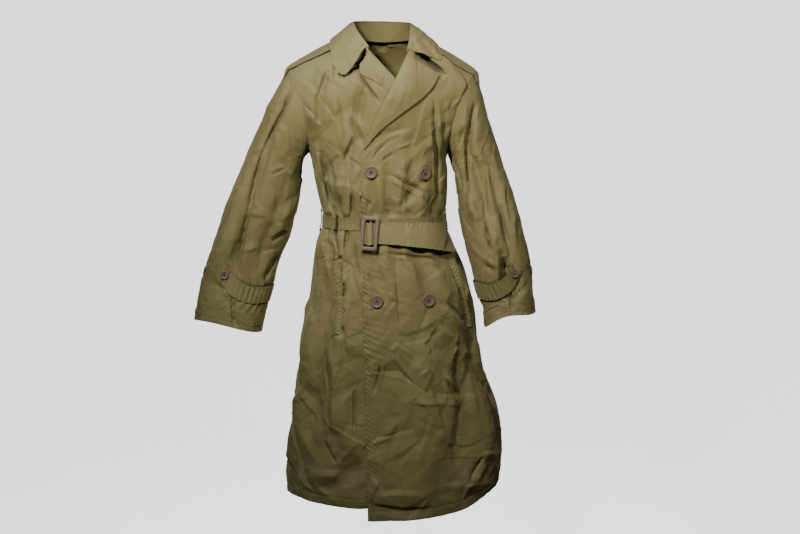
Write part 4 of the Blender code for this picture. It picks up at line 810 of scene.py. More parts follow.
# Creases of the back, in millimetres of a rear view: sideways and down
BACK_CREASES = (
    Crease(-120, 90, -60, 250, 26, 14, -5, 4),
    Crease(110, 85, 70, 240, 14, 28, -5, -4),
    Crease(-20, 120, -46, 330, 24, 16, 4.5),
    Crease(40, 170, 30, 400, 12, 26, 4),
    Crease(-150, 250, -60, 390, 14, 20, 5),
    Crease(140, 255, 66, 395, 20, 14, 5),
    Crease(-96, 330, -84, 410, 8, 7, -5),
    Crease(-50, 340, -46, 412, 7, 8, -5),
    Crease(4, 345, 0, 412, 8, 7, -5),
    Crease(52, 338, 46, 410, 7, 8, -5),
    Crease(98, 330, 86, 408, 8, 8, -5),
    Crease(-70, 432, -92, 620, 14, 9, -6),
    Crease(-10, 434, -22, 700, 10, 18, 6),
    Crease(46, 432, 58, 640, 9, 14, -6),
    Crease(92, 436, 128, 690, 18, 12, 6),
    Crease(-120, 440, -160, 700, 12, 18, 6),
    Crease(-40, 600, -64, 940, 20, 11, -7, 4),
    Crease(30, 680, 44, 1010, 12, 24, 7),
    Crease(120, 640, 160, 960, 22, 13, -7),
    Crease(-130, 760, -96, 860, 12, 10, 5),
    Crease(-20, 820, 60, 900, 12, 14, 4.5),
    Crease(86, 860, 60, 1040, 14, 20, -6),
    Crease(-150, 900, -170, 1060, 14, 14, 6),
    Crease(180, 820, 220, 990, 16, 12, 5),
)
# Creases of a sleeve's hidden side: millimetres round from its outer line by the front, and down it
SLEEVE_BACK_CREASES = (
    Crease(250, 30, 296, 210, 16, 9, -7),
    Crease(330, 60, 344, 300, 9, 16, 6),
    Crease(290, 200, 318, 420, 14, 8, -7),
    Crease(252, 260, 300, 330, 8, 12, 5),
    Crease(350, 300, 300, 380, 10, 10, 5),
    Crease(270, 380, 286, 470, 8, 8, -5),
    Crease(330, 400, 320, 560, 12, 9, 5),
)

# What each sleeve is made from
SleeveForm = namedtuple("SleeveForm", "rings folds raised creases hollows seed strap_gape")
SLEEVES = {
    "left": SleeveForm(
        SLEEVE_LEFT, LEFT_SLEEVE_FOLDS, LEFT_CUFF_RAISE, LEFT_SLEEVE_CREASES, LEFT_SLEEVE_HOLLOWS,
        seed=101, strap_gape=0.011,
    ),
    "right": SleeveForm(
        SLEEVE_RIGHT, RIGHT_SLEEVE_FOLDS, RIGHT_CUFF_RAISE, RIGHT_SLEEVE_CREASES, RIGHT_SLEEVE_HOLLOWS,
        seed=121, strap_gape=0.0,
    ),
}

# Rows of stitching along the edges of a piece's grid; a row may end before the edge does
Seam = namedtuple("Seam", "edge inset end", defaults=(1.0,))
FRONT_SEAMS = (Seam("start", EDGE_INSET, LOW_ROWS / (LOW_ROWS + HIGH_ROWS)), Seam("top", HEM_INSET))
SLEEVE_SEAMS = (Seam("foot", HEM_INSET),)
LAPEL_SEAMS = (Seam("end", EDGE_INSET), Seam("foot", EDGE_INSET))
BAND_SEAMS = (Seam("top", STRAP_INSET), Seam("foot", STRAP_INSET))
LOOP_SEAMS = (Seam("start", STRAP_INSET), Seam("end", STRAP_INSET))
SEAMS = {
    "front_left": FRONT_SEAMS,
    "front_right": FRONT_SEAMS,
    "back": (Seam("top", HEM_INSET),),
    "sleeve_left": SLEEVE_SEAMS,
    "sleeve_right": SLEEVE_SEAMS,
    "collar_fall": (Seam("start", EDGE_INSET), Seam("foot", EDGE_INSET), Seam("end", EDGE_INSET)),
    "lapel_left": LAPEL_SEAMS,
    "lapel_right": LAPEL_SEAMS,
    "belt_waist": BAND_SEAMS,
    "belt_tail": (*BAND_SEAMS, Seam("end", STRAP_INSET)),
    "pocket_welt_left": BAND_SEAMS,
    "pocket_welt_right": BAND_SEAMS,
    "cuff_strap_left": BAND_SEAMS,
    "cuff_strap_right": BAND_SEAMS,
    "shoulder_loop_left": LOOP_SEAMS,
    "shoulder_loop_right": LOOP_SEAMS,
}

# Fields for the flat cut of a piece of cloth: width, length, area, how it is held and what it rests on
# (not used)
Cut = namedtuple("Cut", "width length area held rests_on")

# Materials
Fabric = namedtuple("Fabric", "dark middle light roughness weave gloss_level")
OLIVE = Fabric((0.101, 0.084, 0.030), (0.117, 0.099, 0.037), (0.136, 0.116, 0.045), 0.74, 260.0, 0.40)
THREAD = Fabric((0.080, 0.068, 0.024), (0.096, 0.082, 0.030), (0.112, 0.096, 0.036), 0.6, 300.0, 0.3)
TAPE = Fabric((0.022, 0.018, 0.008), (0.028, 0.023, 0.010), (0.034, 0.028, 0.012), 0.7, 420.0, 0.15)
ROUGHNESS_RANGE = 0.07
HORN_DARK = (0.078, 0.054, 0.036)
HORN_LIGHT = (0.110, 0.079, 0.054)

# Surroundings
FLOOR_Z = -1.35
FLOOR_HALF = 30.0
BACKDROP = 1.9
FILL = 0.045
FILL_TINT = (1.0, 0.92, 0.64)
Lamp = namedtuple("Lamp", "place aim size power spread gloss_only", defaults=(False,))
LAMPS = {
    "key": Lamp((-0.66, -1.52, 0.66), (0.05, -0.12, -0.11), 0.20, 10.9, 70.0),
    "side": Lamp((0.95, -1.45, 0.70), (0.03, -0.12, -0.08), 0.25, 3.5, 70.0),
    "sheen": Lamp((-0.40, -1.00, 1.42), (0.04, -0.12, -0.24), 0.40, 17.0, 80.0, gloss_only=True),
    "back_left": Lamp((1.35, 1.90, 0.10), (0.06, 0.10, -0.42), 0.50, 12.0, 80.0),
    "back_right": Lamp((-1.35, 1.90, 0.30), (-0.06, 0.10, -0.42), 0.50, 17.0, 80.0),
}


# Curves and section shapes


def smooth(at, knots, values):
    """A smooth curve through a table's rows."""
    knots = np.asarray(knots, float)
    values = np.asarray(values, float)
    slopes = np.gradient(values, knots)
    at = np.clip(np.asarray(at, float), knots[0], knots[-1])
    i = np.clip(np.searchsorted(knots, at, side="right") - 1, 0, len(knots) - 2)
    step = knots[i + 1] - knots[i]
    u = (at - knots[i]) / step
    start = values[i] * (1 + 2 * u) * (1 - u) ** 2 + slopes[i] * step * u * (1 - u) ** 2
    end = values[i + 1] * u * u * (3 - 2 * u) + slopes[i + 1] * step * u * u * (u - 1)
    return start + end


def column(rows, name):
    return [getattr(row, name) for row in rows]


def mix(a, b, share):
    return a + (b - a) * share


def ease(share):
    share = np.clip(share, 0.0, 1.0)
    return share * share * (3 - 2 * share)


def signed_power(value, power):
    return np.sign(value) * np.abs(value) ** power


def bell(off, width):
    """1 at no distance, falling off to the sides."""
    return np.exp(-((off / width) ** 2))


def turned(angle, start):
    """Angle from a start in degrees, between -180 and 180."""
    return (angle - start + 180.0) % 360.0 - 180.0


def oval(angle):
    """How far across and how far deep a rounded oval reaches at an angle from its middle, in radians."""
    deep = np.abs(np.cos(angle)) ** (2 / OVAL_POWER)
    return signed_power(np.sin(angle), 2 / OVAL_POWER), deep


def oval_angle(across):
    across = np.clip(across, -1.0, 1.0)
    return np.sign(across) * np.arcsin(np.abs(across) ** (OVAL_POWER / 2))


def body_value(name, z):
    return smooth(z, column(BODY, "height"), column(BODY, name))


def body_middle(z):
    return (body_value("left", z) + body_value("right", z)) / 2


def body_half_width(z):
    return (body_value("right", z) - body_value("left", z)) / 2


# The body's surface


def shoulder_line(x):
    """Height of the shoulder seam; inside the neck it is the height of the neck's edge."""
    out = np.clip((np.abs(x) - NECK_HALF_WIDTH) / (TIP_X - NECK_HALF_WIDTH), 0.0, 1.6)
    return -SHOULDER_DROP * out**SHOULDER_CURVE - SHOULDER_LEAN * x


def seam_depth(x, facing):
    """How far forward or back of the shoulder seam the neck's edge lies."""
    round_neck = np.sqrt(np.clip(1 - (x / NECK_HALF_WIDTH) ** 2, 0.0, 1.0))
    return np.where(facing < 0, -NECK_FRONT_DEPTH, NECK_BACK_DEPTH) * round_neck


def wall_depth(x, z, facing):
    """The body section's own depth at x, front or back."""
    across = np.clip((x - body_middle(z)) / body_half_width(z), -1.0, 1.0)
    deep = (1 - np.abs(across) ** OVAL_POWER) ** (1 / OVAL_POWER)
    return np.where(facing < 0, body_value("front", z), body_value("back", z)) * deep


def body_depth(x, z, facing):
    """Depth of the body's surface: its section, rounded off towards the shoulder seam."""
    below = np.clip((shoulder_line(x) - z) / SHOULDER_ROUND, 0.0, 1.0)
    turn = np.sqrt(1 - (1 - below) ** 2)
    seam = seam_depth(x, facing)
    return seam + (wall_depth(x, z, facing) - seam) * turn


def shoulder_height(x, y):
    """Height of the body's upper surface at a place seen from above."""
    facing = np.where(y < 0, -1.0, 1.0)
    seam = seam_depth(x, facing)
    wall = wall_depth(x, shoulder_line(x) - SHOULDER_ROUND / 2, facing)
    turn = np.clip((y - seam) / np.where(np.abs(wall - seam) < TINY, TINY, wall - seam), 0.0, 0.999)
    return shoulder_line(x) - SHOULDER_ROUND * (1 - np.sqrt(1 - turn**2))


def angle_round(x, y, z):
    """Angle round the body in degrees: 0 at the front, positive towards the wearer's left."""
    across = (x - body_middle(z)) / body_half_width(z)
    return np.degrees(np.arctan2(across, -y / -body_value("front", z)))


def gather_lift(angle, z):
    """Pleats that the belt draws in, deepest a little above and below it."""
    away = np.clip((np.abs(z - BELT_Z) - BELT_HEIGHT / 2) / GATHER_REACH, 0.0, None)
    turn = np.radians(angle)
    wave = np.cos(GATHERS * turn + 1.4 * np.sin(3 * turn))
    return GATHER_DEPTH * wave * away * np.exp(1 - away)


def fold_shape(place, run, width):
    """A fold's height on a flat sheet: 1 along the run from 0, fading at its sides and both ends."""
    length = math.hypot(*run)
    along = (place[0] * run[0] + place[1] * run[1]) / length**2
    off = (place[0] * run[1] - place[1] * run[0]) / length
    taper = np.clip(1 - np.abs(2 * along - 1) ** 3, 0.0, 1.0)
    return bell(off, width) * taper


def add_folds(lift, folds, radius, scale, angle, along):
    """Adds folds to a lift: angles in degrees round a radius, and places along at a scale."""
    for fold in folds:
        rise = (fold.along_to - fold.along_from) * scale
        run = math.radians(fold.angle_to - fold.angle_from) * radius, rise
        place = np.radians(turned(angle, fold.angle_from)) * radius, (along - fold.along_from) * scale
        lift = lift + fold.depth * fold_shape(place, run, fold.width)
    return lift


def fold_lift(angle, z):
    """How far the body's folds move its surface out."""
    return add_folds(gather_lift(angle, z), BODY_FOLDS, FOLD_RADIUS, 1.0, angle, z)


def away_from_axis(x, y, z):
    """Level direction out of the body, from its middle."""
    out_x = (x - body_middle(z)) / body_half_width(z) ** 2
    out_y = y / body_value("back", z) ** 2
    length = np.sqrt(out_x**2 + out_y**2)
    return out_x / length, out_y / length


def folded(x, y, z, lift, fade):
    """A point of the body's surface moved out by its folds and by a lift of its own."""
    out_x, out_y = away_from_axis(x, y, z)
    move = fold_lift(angle_round(x, y, z), z) * fade + lift
    return np.stack(np.broadcast_arrays(x + out_x * move, y + out_y * move, z), axis=-1)


# Sleeve surface


def sleeve_point(rings, folds, angle, share):
    """A point of a sleeve: angle in degrees from its outer side by the front, share of its length."""
    knots = np.linspace(0.0, 1.0, len(rings))
    outer_x, outer_z, inner_x, inner_z, half_depth, middle_y = (
        smooth(share, knots, column(rings, name)) for name in Ring._fields
    )
    turn = np.radians(angle)
    along = signed_power(np.cos(turn), 2 / SLEEVE_OVAL)
    deep = signed_power(np.sin(turn), 2 / SLEEVE_OVAL)
    half_x, half_z = (outer_x - inner_x) / 2, (outer_z - inner_z) / 2
    side = math.copysign(1.0, rings[0].outer_x)
    near_armhole = np.clip(1 - share * ARMHOLE_BULGE_REACH, 0.0, 1.0) ** 2
    bulge = side * ARMHOLE_BULGE * np.sin(turn) ** 2 * near_armhole
    width = np.sqrt(half_x**2 + half_z**2)
    move = sleeve_folds(folds, angle, share)
    x = (outer_x + inner_x) / 2 - bulge + along * half_x * (1 + move / width)
    z = (outer_z + inner_z) / 2 + along * half_z * (1 + move / width)
    y = middle_y - deep * (half_depth + move)
    return np.stack(np.broadcast_arrays(x, y, z), axis=-1)


def sleeve_folds(folds, angle, share):
    """How far a sleeve's folds move its surface out."""
    flat = np.zeros(np.broadcast(angle, share).shape)
    return add_folds(flat, folds, SLEEVE_RADIUS, SLEEVE_LENGTH, angle, share)


def cuff_share(raised, angle, share):
    """Share along a sleeve with its end drawn up on one side."""
    near_end = ease((share - CUFF_RAISE_START) / (1 - CUFF_RAISE_START))
    return share - raised.share * bell(turned(angle, raised.angle), raised.spread) * near_end


def armhole(side, share, facing):
    """A point of the armhole's seam, from armpit (0) to shoulder tip (1), by the front or back."""
    rings = SLEEVE_LEFT if side > 0 else SLEEVE_RIGHT
    angle = 180.0 * (1 - share) * (1.0 if facing < 0 else -1.0)
    return sleeve_point(rings, (), angle, np.zeros_like(np.asarray(share, float)))


# Panels, by share across and row: rows 0 to 1 climb from hem to armpit, 1 to 2 to the shoulder


def row_height(row):
    return HEM_Z + (ARMPIT_Z - HEM_Z) * np.clip(row, 0.0, 1.0)


def hem_raise(angle, row):
    """How far the hem is caught up at an angle round the body."""
    near_hem = np.clip(1 - row, 0.0, 1.0) ** HEM_RAISE_REACH
    left = HEM_RAISE * bell(turned(angle, HEM_RAISE_ANGLE), HEM_RAISE_SPREAD)
    right = RIGHT_RAISE * bell(turned(angle, RIGHT_RAISE_ANGLE), RIGHT_RAISE_SPREAD)
    return (left + right) * near_hem


def front_edge(side, row):
    """X of a front's free edge below its lapel."""
    if side < 0:
        return np.full(np.shape(row), RIGHT_EDGE_X)
    return mix(LEFT_EDGE_HEM_X, LEFT_EDGE_TOP_X, np.clip(row, 0.0, 1.0))


def neckline(side, share):
    """(x, z) of a front's inner edge above the break of its lapel."""
    rows = LEFT_NECKLINE if side > 0 else RIGHT_NECKLINE
    knots = column(rows, "share")
    x = smooth(share, knots, column(rows, "x"))
    z = smooth(share, knots, column(rows, "z"))
    return x, np.minimum(z, shoulder_line(x))


def lap_edge(row):
    """X of the left front's free edge, up its whole length."""
    return np.where(row > 1.0, neckline(1.0, np.clip(row - 1, 0, 1))[0], front_edge(1.0, row))


def front_lift(side, x, z, row):
    """Lifts the left front over the right one, and sinks the right one's hidden underlap."""
    if side < 0:
        return -UNDERLAP_SINK * ease((x - lap_edge(row) + UNDERLAP_START) / UNDERLAP_FADE)
    lapped = 1 - ease((x - RIGHT_EDGE_X - OVERLAP_START) / OVERLAP_FADE)
    below_top = 1 - ease((z - OVERLAP_TOP) / OVERLAP_TOP_FADE)
    crossing = bell(z - CROSSING_Z, CROSSING_REACH)
    crossing = crossing * (1 - ease((x - CROSSING_END) / CROSSING_FADE))
    return OVERLAP_LIFT * lapped * below_top + CROSSING_LIFT * crossing


def front_panel(side, across, row):
    """A point of a front: across runs from the free edge (0) to the side seam or armhole (1)."""
    across, row = np.broadcast_arrays(np.asarray(across, float), np.asarray(row, float))
    low = row_height(row)
    edge_low = front_edge(side, row)
    middle, half = body_middle(low), body_half_width(low)
    angle_in = oval_angle((edge_low - middle) / half)
    angle = mix(angle_in, side * math.pi / 2, across)
    reach, deep = oval(angle)
    x_low = middle + half * reach
    hem_step = -LEFT_HEM_DROP if side > 0 else RIGHT_HEM_RAISE
    hem_step = hem_step * (1 - across) ** 2 * np.clip(1 - row, 0.0, 1.0) ** HEM_RAISE_REACH
    z_low = low + hem_raise(np.degrees(angle), row) + hem_step
    y_low = body_value("front", low) * deep

    share = np.clip(row - 1.0, 0.0, 1.0)
    in_x, in_z = neckline(side, share)
    out = armhole(side, share, -1.0)
    reach_in = oval(angle_in)[0]
    m = (reach - reach_in) / (side - reach_in)
    x_high = mix(in_x, out[..., 0], m)
    tip = armhole(side, np.ones(1), -1.0)[0]
    straight = mix(neckline(side, 1.0)[1], tip[2], m)
    seam_z = shoulder_line(mix(side * NECK_HALF_WIDTH, tip[0], m))
    z_high = mix(in_z, out[..., 2], m) + share**2 * (seam_z - straight)
    y_high = body_depth(x_high, z_high, -1.0)
    at_seam = body_depth(out[..., 0], out[..., 2], -1.0)
    y_high = y_high + (out[..., 1] - at_seam) * m**4

    x, y, z = (np.where(row > 1.0, a, b) for a, b in ((x_high, x_low), (y_high, y_low), (z_high, z_low)))
    fade = (1 - share) ** 2 * (1 - m**4 * ease((row - ARMPIT_FADE_ROW) / (1 - ARMPIT_FADE_ROW)))
    past_edge = (x - lap_edge(row)) / UNDERLAP_FADE
    fade = fade * (ease(past_edge) if side > 0 else ease(-past_edge))
    return folded(x, y, z, front_lift(side, x, z, row), fade)


def back_panel(across, row):
    """A point of the back: across runs from the wearer's right side (0) to the left (1)."""
    across, row = np.broadcast_arrays(np.asarray(across, float), np.asarray(row, float))
    low = row_height(row)
    angle = (across - 0.5) * math.pi
    reach, deep = oval(angle)
    x_low = body_middle(low) + body_half_width(low) * reach
    z_low = low + hem_raise(180.0 - np.degrees(angle), row)
    y_low = body_value("back", low) * deep

    share = np.clip(row - 1.0, 0.0, 1.0)
    right, left = armhole(-1.0, share, 1.0), armhole(1.0, share, 1.0)
    x_high = mix(right[..., 0], left[..., 0], (reach + 1) / 2)
    tips = armhole(-1.0, np.ones(1), 1.0)[0], armhole(1.0, np.ones(1), 1.0)[0]
    x_top = mix(tips[0][0], tips[1][0], (reach + 1) / 2)
    round_neck = np.clip(1 - (x_top / NECK_HALF_WIDTH) ** 2, 0.0, 1.0)
    z_top = shoulder_line(x_top) - NECK_BACK_DROP * round_neck
    edge_z = np.where(reach < 0, right[..., 2], left[..., 2])
    tip_z = np.where(reach < 0, tips[0][2], tips[1][2])
    climb = (edge_z - ARMPIT_Z) / (tip_z - ARMPIT_Z)
    z_high = ARMPIT_Z + (z_top - ARMPIT_Z) * climb
    y_high = body_depth(x_high, z_high, 1.0)
    edge = np.where((reach < 0)[..., None], right, left)
    y_high = y_high + (edge[..., 1] - body_depth(edge[..., 0], edge[..., 2], 1.0)) * reach**4

    x, y, z = (np.where(row > 1.0, a, b) for a, b in ((x_high, x_low), (y_high, y_low), (z_high, z_low)))
    fade = (1 - share) ** 2 * (1 - reach**4 * ease((row - ARMPIT_FADE_ROW) / (1 - ARMPIT_FADE_ROW)))
    return folded(x, y, z, 0.0, fade)


def front_across(side, angle, row):
    """Share across a front at an angle round the body in degrees."""
    low = row_height(row)
    angle_in = np.degrees(oval_angle((front_edge(side, row) - body_middle(low)) / body_half_width(low)))
    return (angle - angle_in) / (side * 90.0 - angle_in)


def row_of(z):
    """Row of a height between hem and armpit."""
    return (np.asarray(z, float) - HEM_Z) / (ARMPIT_Z - HEM_Z)


# Collar, lapels, straps and belt


def neck_seam(share):
    """A point of the seam that the collar stands on, from the right notch round to the left one."""
    share = np.asarray(share, float)
    front = COLLAR_FRONT_SPAN
    right = neckline(-1.0, mix(NOTCH_SHARE, 1.0, np.clip(share / front, 0.0, 1.0)))
    left = neckline(1.0, mix(NOTCH_SHARE, 1.0, np.clip((1 - share) / front, 0.0, 1.0)))
    turn = (np.clip((share - front) / (1 - 2 * front), 0.0, 1.0) - 0.5) * math.pi
    back_x = NECK_HALF_WIDTH * np.sin(turn)
    back_z = shoulder_line(back_x) - NECK_BACK_DROP * np.cos(turn) ** 2
    x = np.where(share < front, right[0], np.where(share > 1 - front, left[0], back_x))
    z = np.where(share < front, right[1], np.where(share > 1 - front, left[1], back_z))
    at_front = (share < front) | (share > 1 - front)
    y = np.where(at_front, body_depth(x, z, -1.0), NECK_BACK_DEPTH * np.cos(turn))
    return np.stack([x, y, z], axis=-1)


def collar_value(name, share):
    return smooth(share, column(COLLAR, "share"), column(COLLAR, name))


def collar_fold(share):
    """The fold between stand and fall."""
    seam = neck_seam(share)
    inward = -seam[..., :2] / np.linalg.norm(seam[..., :2], axis=-1, keepdims=True)
    fold = seam.copy()
    fold[..., :2] += inward * collar_value("lean", share)[..., None]
    fold[..., 2] += collar_value("stand_height", share)
    return fold


def collar_edge(share):
    x, y = collar_value("edge_x", share), collar_value("edge_y", share)
    return np.stack([x, y, shoulder_height(x, y) + COLLAR_CLEAR], axis=-1)


def collar_point(share, down):
    """A point of the fall: down runs from the fold (0) to the free edge (1)."""
    share, down = np.broadcast_arrays(np.asarray(share, float), np.asarray(down, float))
    fold, edge = collar_fold(share), collar_edge(share)
    x = mix(fold[..., 0], edge[..., 0], down**COLLAR_OUT_POWER)
    y = mix(fold[..., 1], edge[..., 1], down**COLLAR_OUT_POWER)
    z = mix(fold[..., 2] + 1.5 * CLOTH, edge[..., 2], down**COLLAR_DROP_POWER)
    clear = shoulder_height(x, y) + COLLAR_CLEAR
    z = np.maximum(z, np.where(down > COLLAR_CLEAR_START, clear, -1.0))
    return np.stack([x, y, z], axis=-1)


def lapel_point(side, table, along, across):
    """A point of a lapel: along climbs the roll line, across runs from it to the free edge."""
    knots = np.linspace(0.0, 1.0, len(table))
    share, edge_x, edge_z, off = (smooth(along, knots, column(table, name)) for name in Lapel._fields)
    roll_x, roll_z = neckline(side, share)
    x, z = mix(roll_x, edge_x, across), mix(roll_z, edge_z, across)
    y = body_depth(x, z, -1.0)
    rise = SEAM_GAP + CLOTH + mix(0.0, LAPEL_CLEAR - CLOTH, np.sqrt(across))
    rise = rise + off * np.sin(math.pi * across**LAPEL_ROLL_POWER)
    base = front_lift(1.0, x, z, 1.0 + share) if side > 0 else 0.0
    fade = np.clip(1 - (z - ARMPIT_Z) / LAPEL_FOLD_FADE, 0.0, 1.0) ** 2
    return folded(x, y, z, base + rise, fade)


def strap_share(angle, step):
    """Share along the sleeve at a strap's edges, rounded in towards its tip."""
    near_tip = np.clip((STRAP_TIP + STRAP_ROUND - angle) / STRAP_ROUND, 0.0, 0.97)
    middle = smooth(angle, column(STRAP_LINE, "angle"), column(STRAP_LINE, "share"))
    return middle + STRAP_WIDTH / 2 * np.sqrt(1 - near_tip**2) * step


def smooth_body(angle, z, lift):
    """A point off the body without its folds, below the armpits, at an angle round it in degrees."""
    reach, deep = oval(np.radians(angle))
    x = body_middle(z) + body_half_width(z) * reach
    return folded(x, body_value("front", z) * deep, z, lift, 0.0)


def tail_point(angle, down, bump=1.0):
    """A point of the belt's free end; it rises over the buckle's bar."""
    knots = column(TAIL, "angle")
    values = [smooth(angle, knots, column(TAIL, name)) for name in Tail._fields[1:]]
    top, end, lift_top, lift_end = values
    upper, lower = smooth_body(angle, top, lift_top), smooth_body(angle, end, lift_end)
    points = mix(upper, lower, np.asarray(down)[..., None])
    off = np.abs(points[..., 0] - BUCKLE_X)
    inside = BUCKLE_WIDTH / 2 - BUCKLE_BORDER - OVER_BAR_INSET - off
    points[..., 1] -= bump * OVER_BAR * ease(inside / OVER_BAR_FADE)
    return points


def rounded_frame(width, height, corner):
    """Points round a rectangle with rounded corners, as seen from the front."""
    points = []
    for turn in range(4):
        centre_x = (width / 2 - corner) * (1 if turn in (0, 3) else -1)
        centre_z = (height / 2 - corner) * (1 if turn in (0, 1) else -1)
        for step in range(BUCKLE_CORNER_STEPS + 1):
            angle = math.radians(90 * turn + 90 * step / BUCKLE_CORNER_STEPS)
            points.append((centre_x + corner * math.cos(angle), centre_z + corner * math.sin(angle)))
    return np.array(points)


def buckle_frame():
    """Where the buckle lies flat on the belt's free end."""
    across_frame = np.array([-1.0, -0.6, 0.0, 0.6, 1.0]) * BUCKLE_WIDTH / 2
    angle, down = np.meshgrid([belt_angle(BUCKLE_X + step) for step in across_frame], TAIL_STEPS)
    under = tail_point(angle, down, bump=0.0)
    run = under[:, 3].mean(axis=0) - under[:, 1].mean(axis=0)
    across = mathutils.Vector((run[0], run[1], 0.0)).normalized()
    up = mathutils.Vector(under[0, 2] - under[-1, 2])
    out = across.cross(up).normalized()
    up = out.cross(across)
    middle = under[:, 2].mean(axis=0)
    height = float(((under.reshape(-1, 3) - middle) @ np.array(out)).max()) + SEAM_GAP
    slide = (BUCKLE_Z - middle[2]) / up.z
    centre = mathutils.Vector(middle) + out * height + up * slide
    centre += across * ((BUCKLE_X - centre.x) / across.x)
    turn = mathutils.Matrix((across, -out, up)).transposed()
    lean = mathutils.Matrix.Rotation(math.radians(BUCKLE_LEAN), 3, "Y")
    return mathutils.Matrix.LocRotScale(centre, (turn @ lean).to_quaternion(), None)


def belt_angle(x):
    """Angle round the belt at an x on the front."""
    return math.degrees(float(oval_angle((x - body_middle(BELT_Z)) / body_half_width(BELT_Z))))


# Creases and crumple


def photo_place(points):
    """Where points show in the camera's frame, in pixels."""
    tilt = math.radians(CAMERA_TILT)
    away = points - np.array(CAMERA_PLACE)
    depth = away[..., 1] * math.cos(tilt) - away[..., 2] * math.sin(tilt)
    up = away[..., 1] * math.sin(tilt) + away[..., 2] * math.cos(tilt)
    return FRAME_WIDE / 2 + FOCAL * away[..., 0] / depth, FRAME_TALL / 2 - FOCAL * up / depth


def to_camera(points):
    """Unit directions from points to the camera's place."""
    away = np.array(CAMERA_PLACE) - points
    return away / np.linalg.norm(away, axis=-1, keepdims=True)


def seen_from_front(points, normal):
    """1 where a surface looks at the camera's place, fading to 0 where it turns away."""
    return ease(((normal * to_camera(points)).sum(axis=-1) - SEEN_START) / SEEN_FADE)


def crease_height(creases, u, v, spread=1.0):
    """Height of the creases at places in their own frame; spread widens the wider side of each."""
    height = np.zeros(u.shape)
    for crease in creases:
        run_u, run_v = crease.to_u - crease.from_u, crease.to_v - crease.from_v
        length = math.hypot(run_u, run_v)
        along = ((u - crease.from_u) * run_u + (v - crease.from_v) * run_v) / length**2
        off = ((u - crease.from_u) * run_v - (v - crease.from_v) * run_u) / length
        off = off - crease.bow * 4 * along * (1 - along)
        left, right = crease.left, crease.right
        if left < right:
            right *= spread
        else:
            left *= spread
        reach = np.where(off > 0, right, left)
        near = np.clip(1 - np.abs(off) / reach, 0.0, 1.0)
        taper = np.clip(np.minimum(along, 1 - along) * CREASE_TAPER, 0.0, 1.0)
        height += crease.height * MILLIMETRE * near * taper
    return height


def uneven(across, up, cell, seed):
    """Slow random change between -1 and 1."""
    first, second, third, fourth = np.random.default_rng(seed).uniform(0.0, math.tau, 4)
    a, b = across / cell, up / cell
    wave = np.sin(1.9 * a + 0.7 * b + first) + np.sin(1.3 * b - 1.1 * a + second)
    return (wave + np.sin(2.9 * a - 1.7 * b + third) + np.sin(3.7 * b + 2.3 * a + fourth)) / 4


def facets(across, up, cell, seed):
    """Height of a crushed sheet, from -1 to 1: flat triangles between corners strewn at random."""
    pick = np.random.default_rng(seed)
    low = np.array([across.min(), up.min()]) - 2 * cell
    high = np.array([across.max(), up.max()]) + 2 * cell
    corners = [low, (high[0], low[1]), high, (low[0], high[1])]
    count = int((high - low).prod() / cell**2)
    spots = np.concatenate([corners, pick.uniform(low, high, (count, 2))])
    heights = pick.uniform(-1.0, 1.0, len(spots))
    flat = [mathutils.Vector(spot) for spot in spots]
    made = mathutils.geometry.delaunay_2d_cdt(flat, [], [], 0, 1e-7)
    peaks = [(spot.x, spot.y, heights[came[0]]) for spot, came in zip(made[0], made[3])]
    tree = BVHTree.FromPolygons(peaks, made[2])
    down = mathutils.Vector((0.0, 0.0, -1.0))
    found = np.zeros(across.shape)
    for at in np.ndindex(across.shape):
        hit = tree.ray_cast(mathutils.Vector((across[at], up[at], 2.0)), down)
        found[at] = hit[0].z if hit[0] is not None else 0.0
    return found


def strewn_crease(pick, row):
    """One small crease at random: mostly upright, with a steep and a gentle side."""
    u, v = pick.uniform(*row.across), pick.uniform(*row.down)
    turn = math.radians(row.lean * pick.choice((-1.0, 1.0)) + pick.normal(0.0, STREWN_TURN))
    length = row.size * pick.uniform(*STREWN_LENGTH)
    steep, gentle = pick.uniform(*STREWN_STEEP), row.size * pick.uniform(*STREWN_GENTLE)
    if pick.random() < 0.5:
        steep, gentle = gentle, steep
    height = row.size * pick.choice((-1.0, 1.0)) * pick.uniform(*STREWN_HEIGHT)
    height = height * (0.8 + length / row.size / 70.0)
    bow = pick.uniform(-STREWN_BOW, STREWN_BOW) * length
    run_u, run_v = length * math.sin(turn), length * math.cos(turn)
    return Crease(u, v, u + run_u, v + run_v, steep, gentle, height, bow)


def scatter(seed, strewn):
    """The small creases of a piece, each row of its table with draws of its own."""
    creases = []
    for number, row in enumerate(strewn):
        pick = np.random.default_rng(seed + 4 * number)
        creases += [strewn_crease(pick, row) for _ in range(row.count)]
    return creases


def crumple(across, up, seed, crushed, creases=()):
    """Crushed cloth: facets of three sizes, uneven in strength, with small creases strewn over them."""
    across, up = np.broadcast_arrays(across, up)
    height = 0.0
    if crushed.large:
        height = crushed.large * facets(across + 0.35 * up, up * 0.55, FACET_SPACING.large, seed)
    middle = facets(across - 0.3 * up, up * 0.65, FACET_SPACING.middle, seed + 1)
    height = height + crushed.middle * middle
    strong = 0.7 + 0.5 * uneven(across, up, 0.09, seed + 3)
    height = height + crushed.small * strong * facets(across, up, FACET_SPACING.small, seed + 2)
    return height + crease_height(creases, across * 1000, up * 1000)


def puckers(along, away, gather, seed):
    """Small uneven gathers beside a sewn edge."""
    drift = uneven(along, away * 0.4, 4 * gather.wave, seed)
    strength = 0.65 + 0.5 * uneven(along, away * 0.2, 3 * gather.wave, seed + 1)
    phase = math.tau * ((along + gather.slant * away) / gather.wave + 0.5 * drift)
    return gather.height * strength * np.sin(phase) * bell(away, gather.reach)


def pressed(away, groove):
    """Depth of the groove along a row of stitching, at a distance from the edge."""
    return groove.depth * bell(away - groove.inset, groove.width)


# Meshes


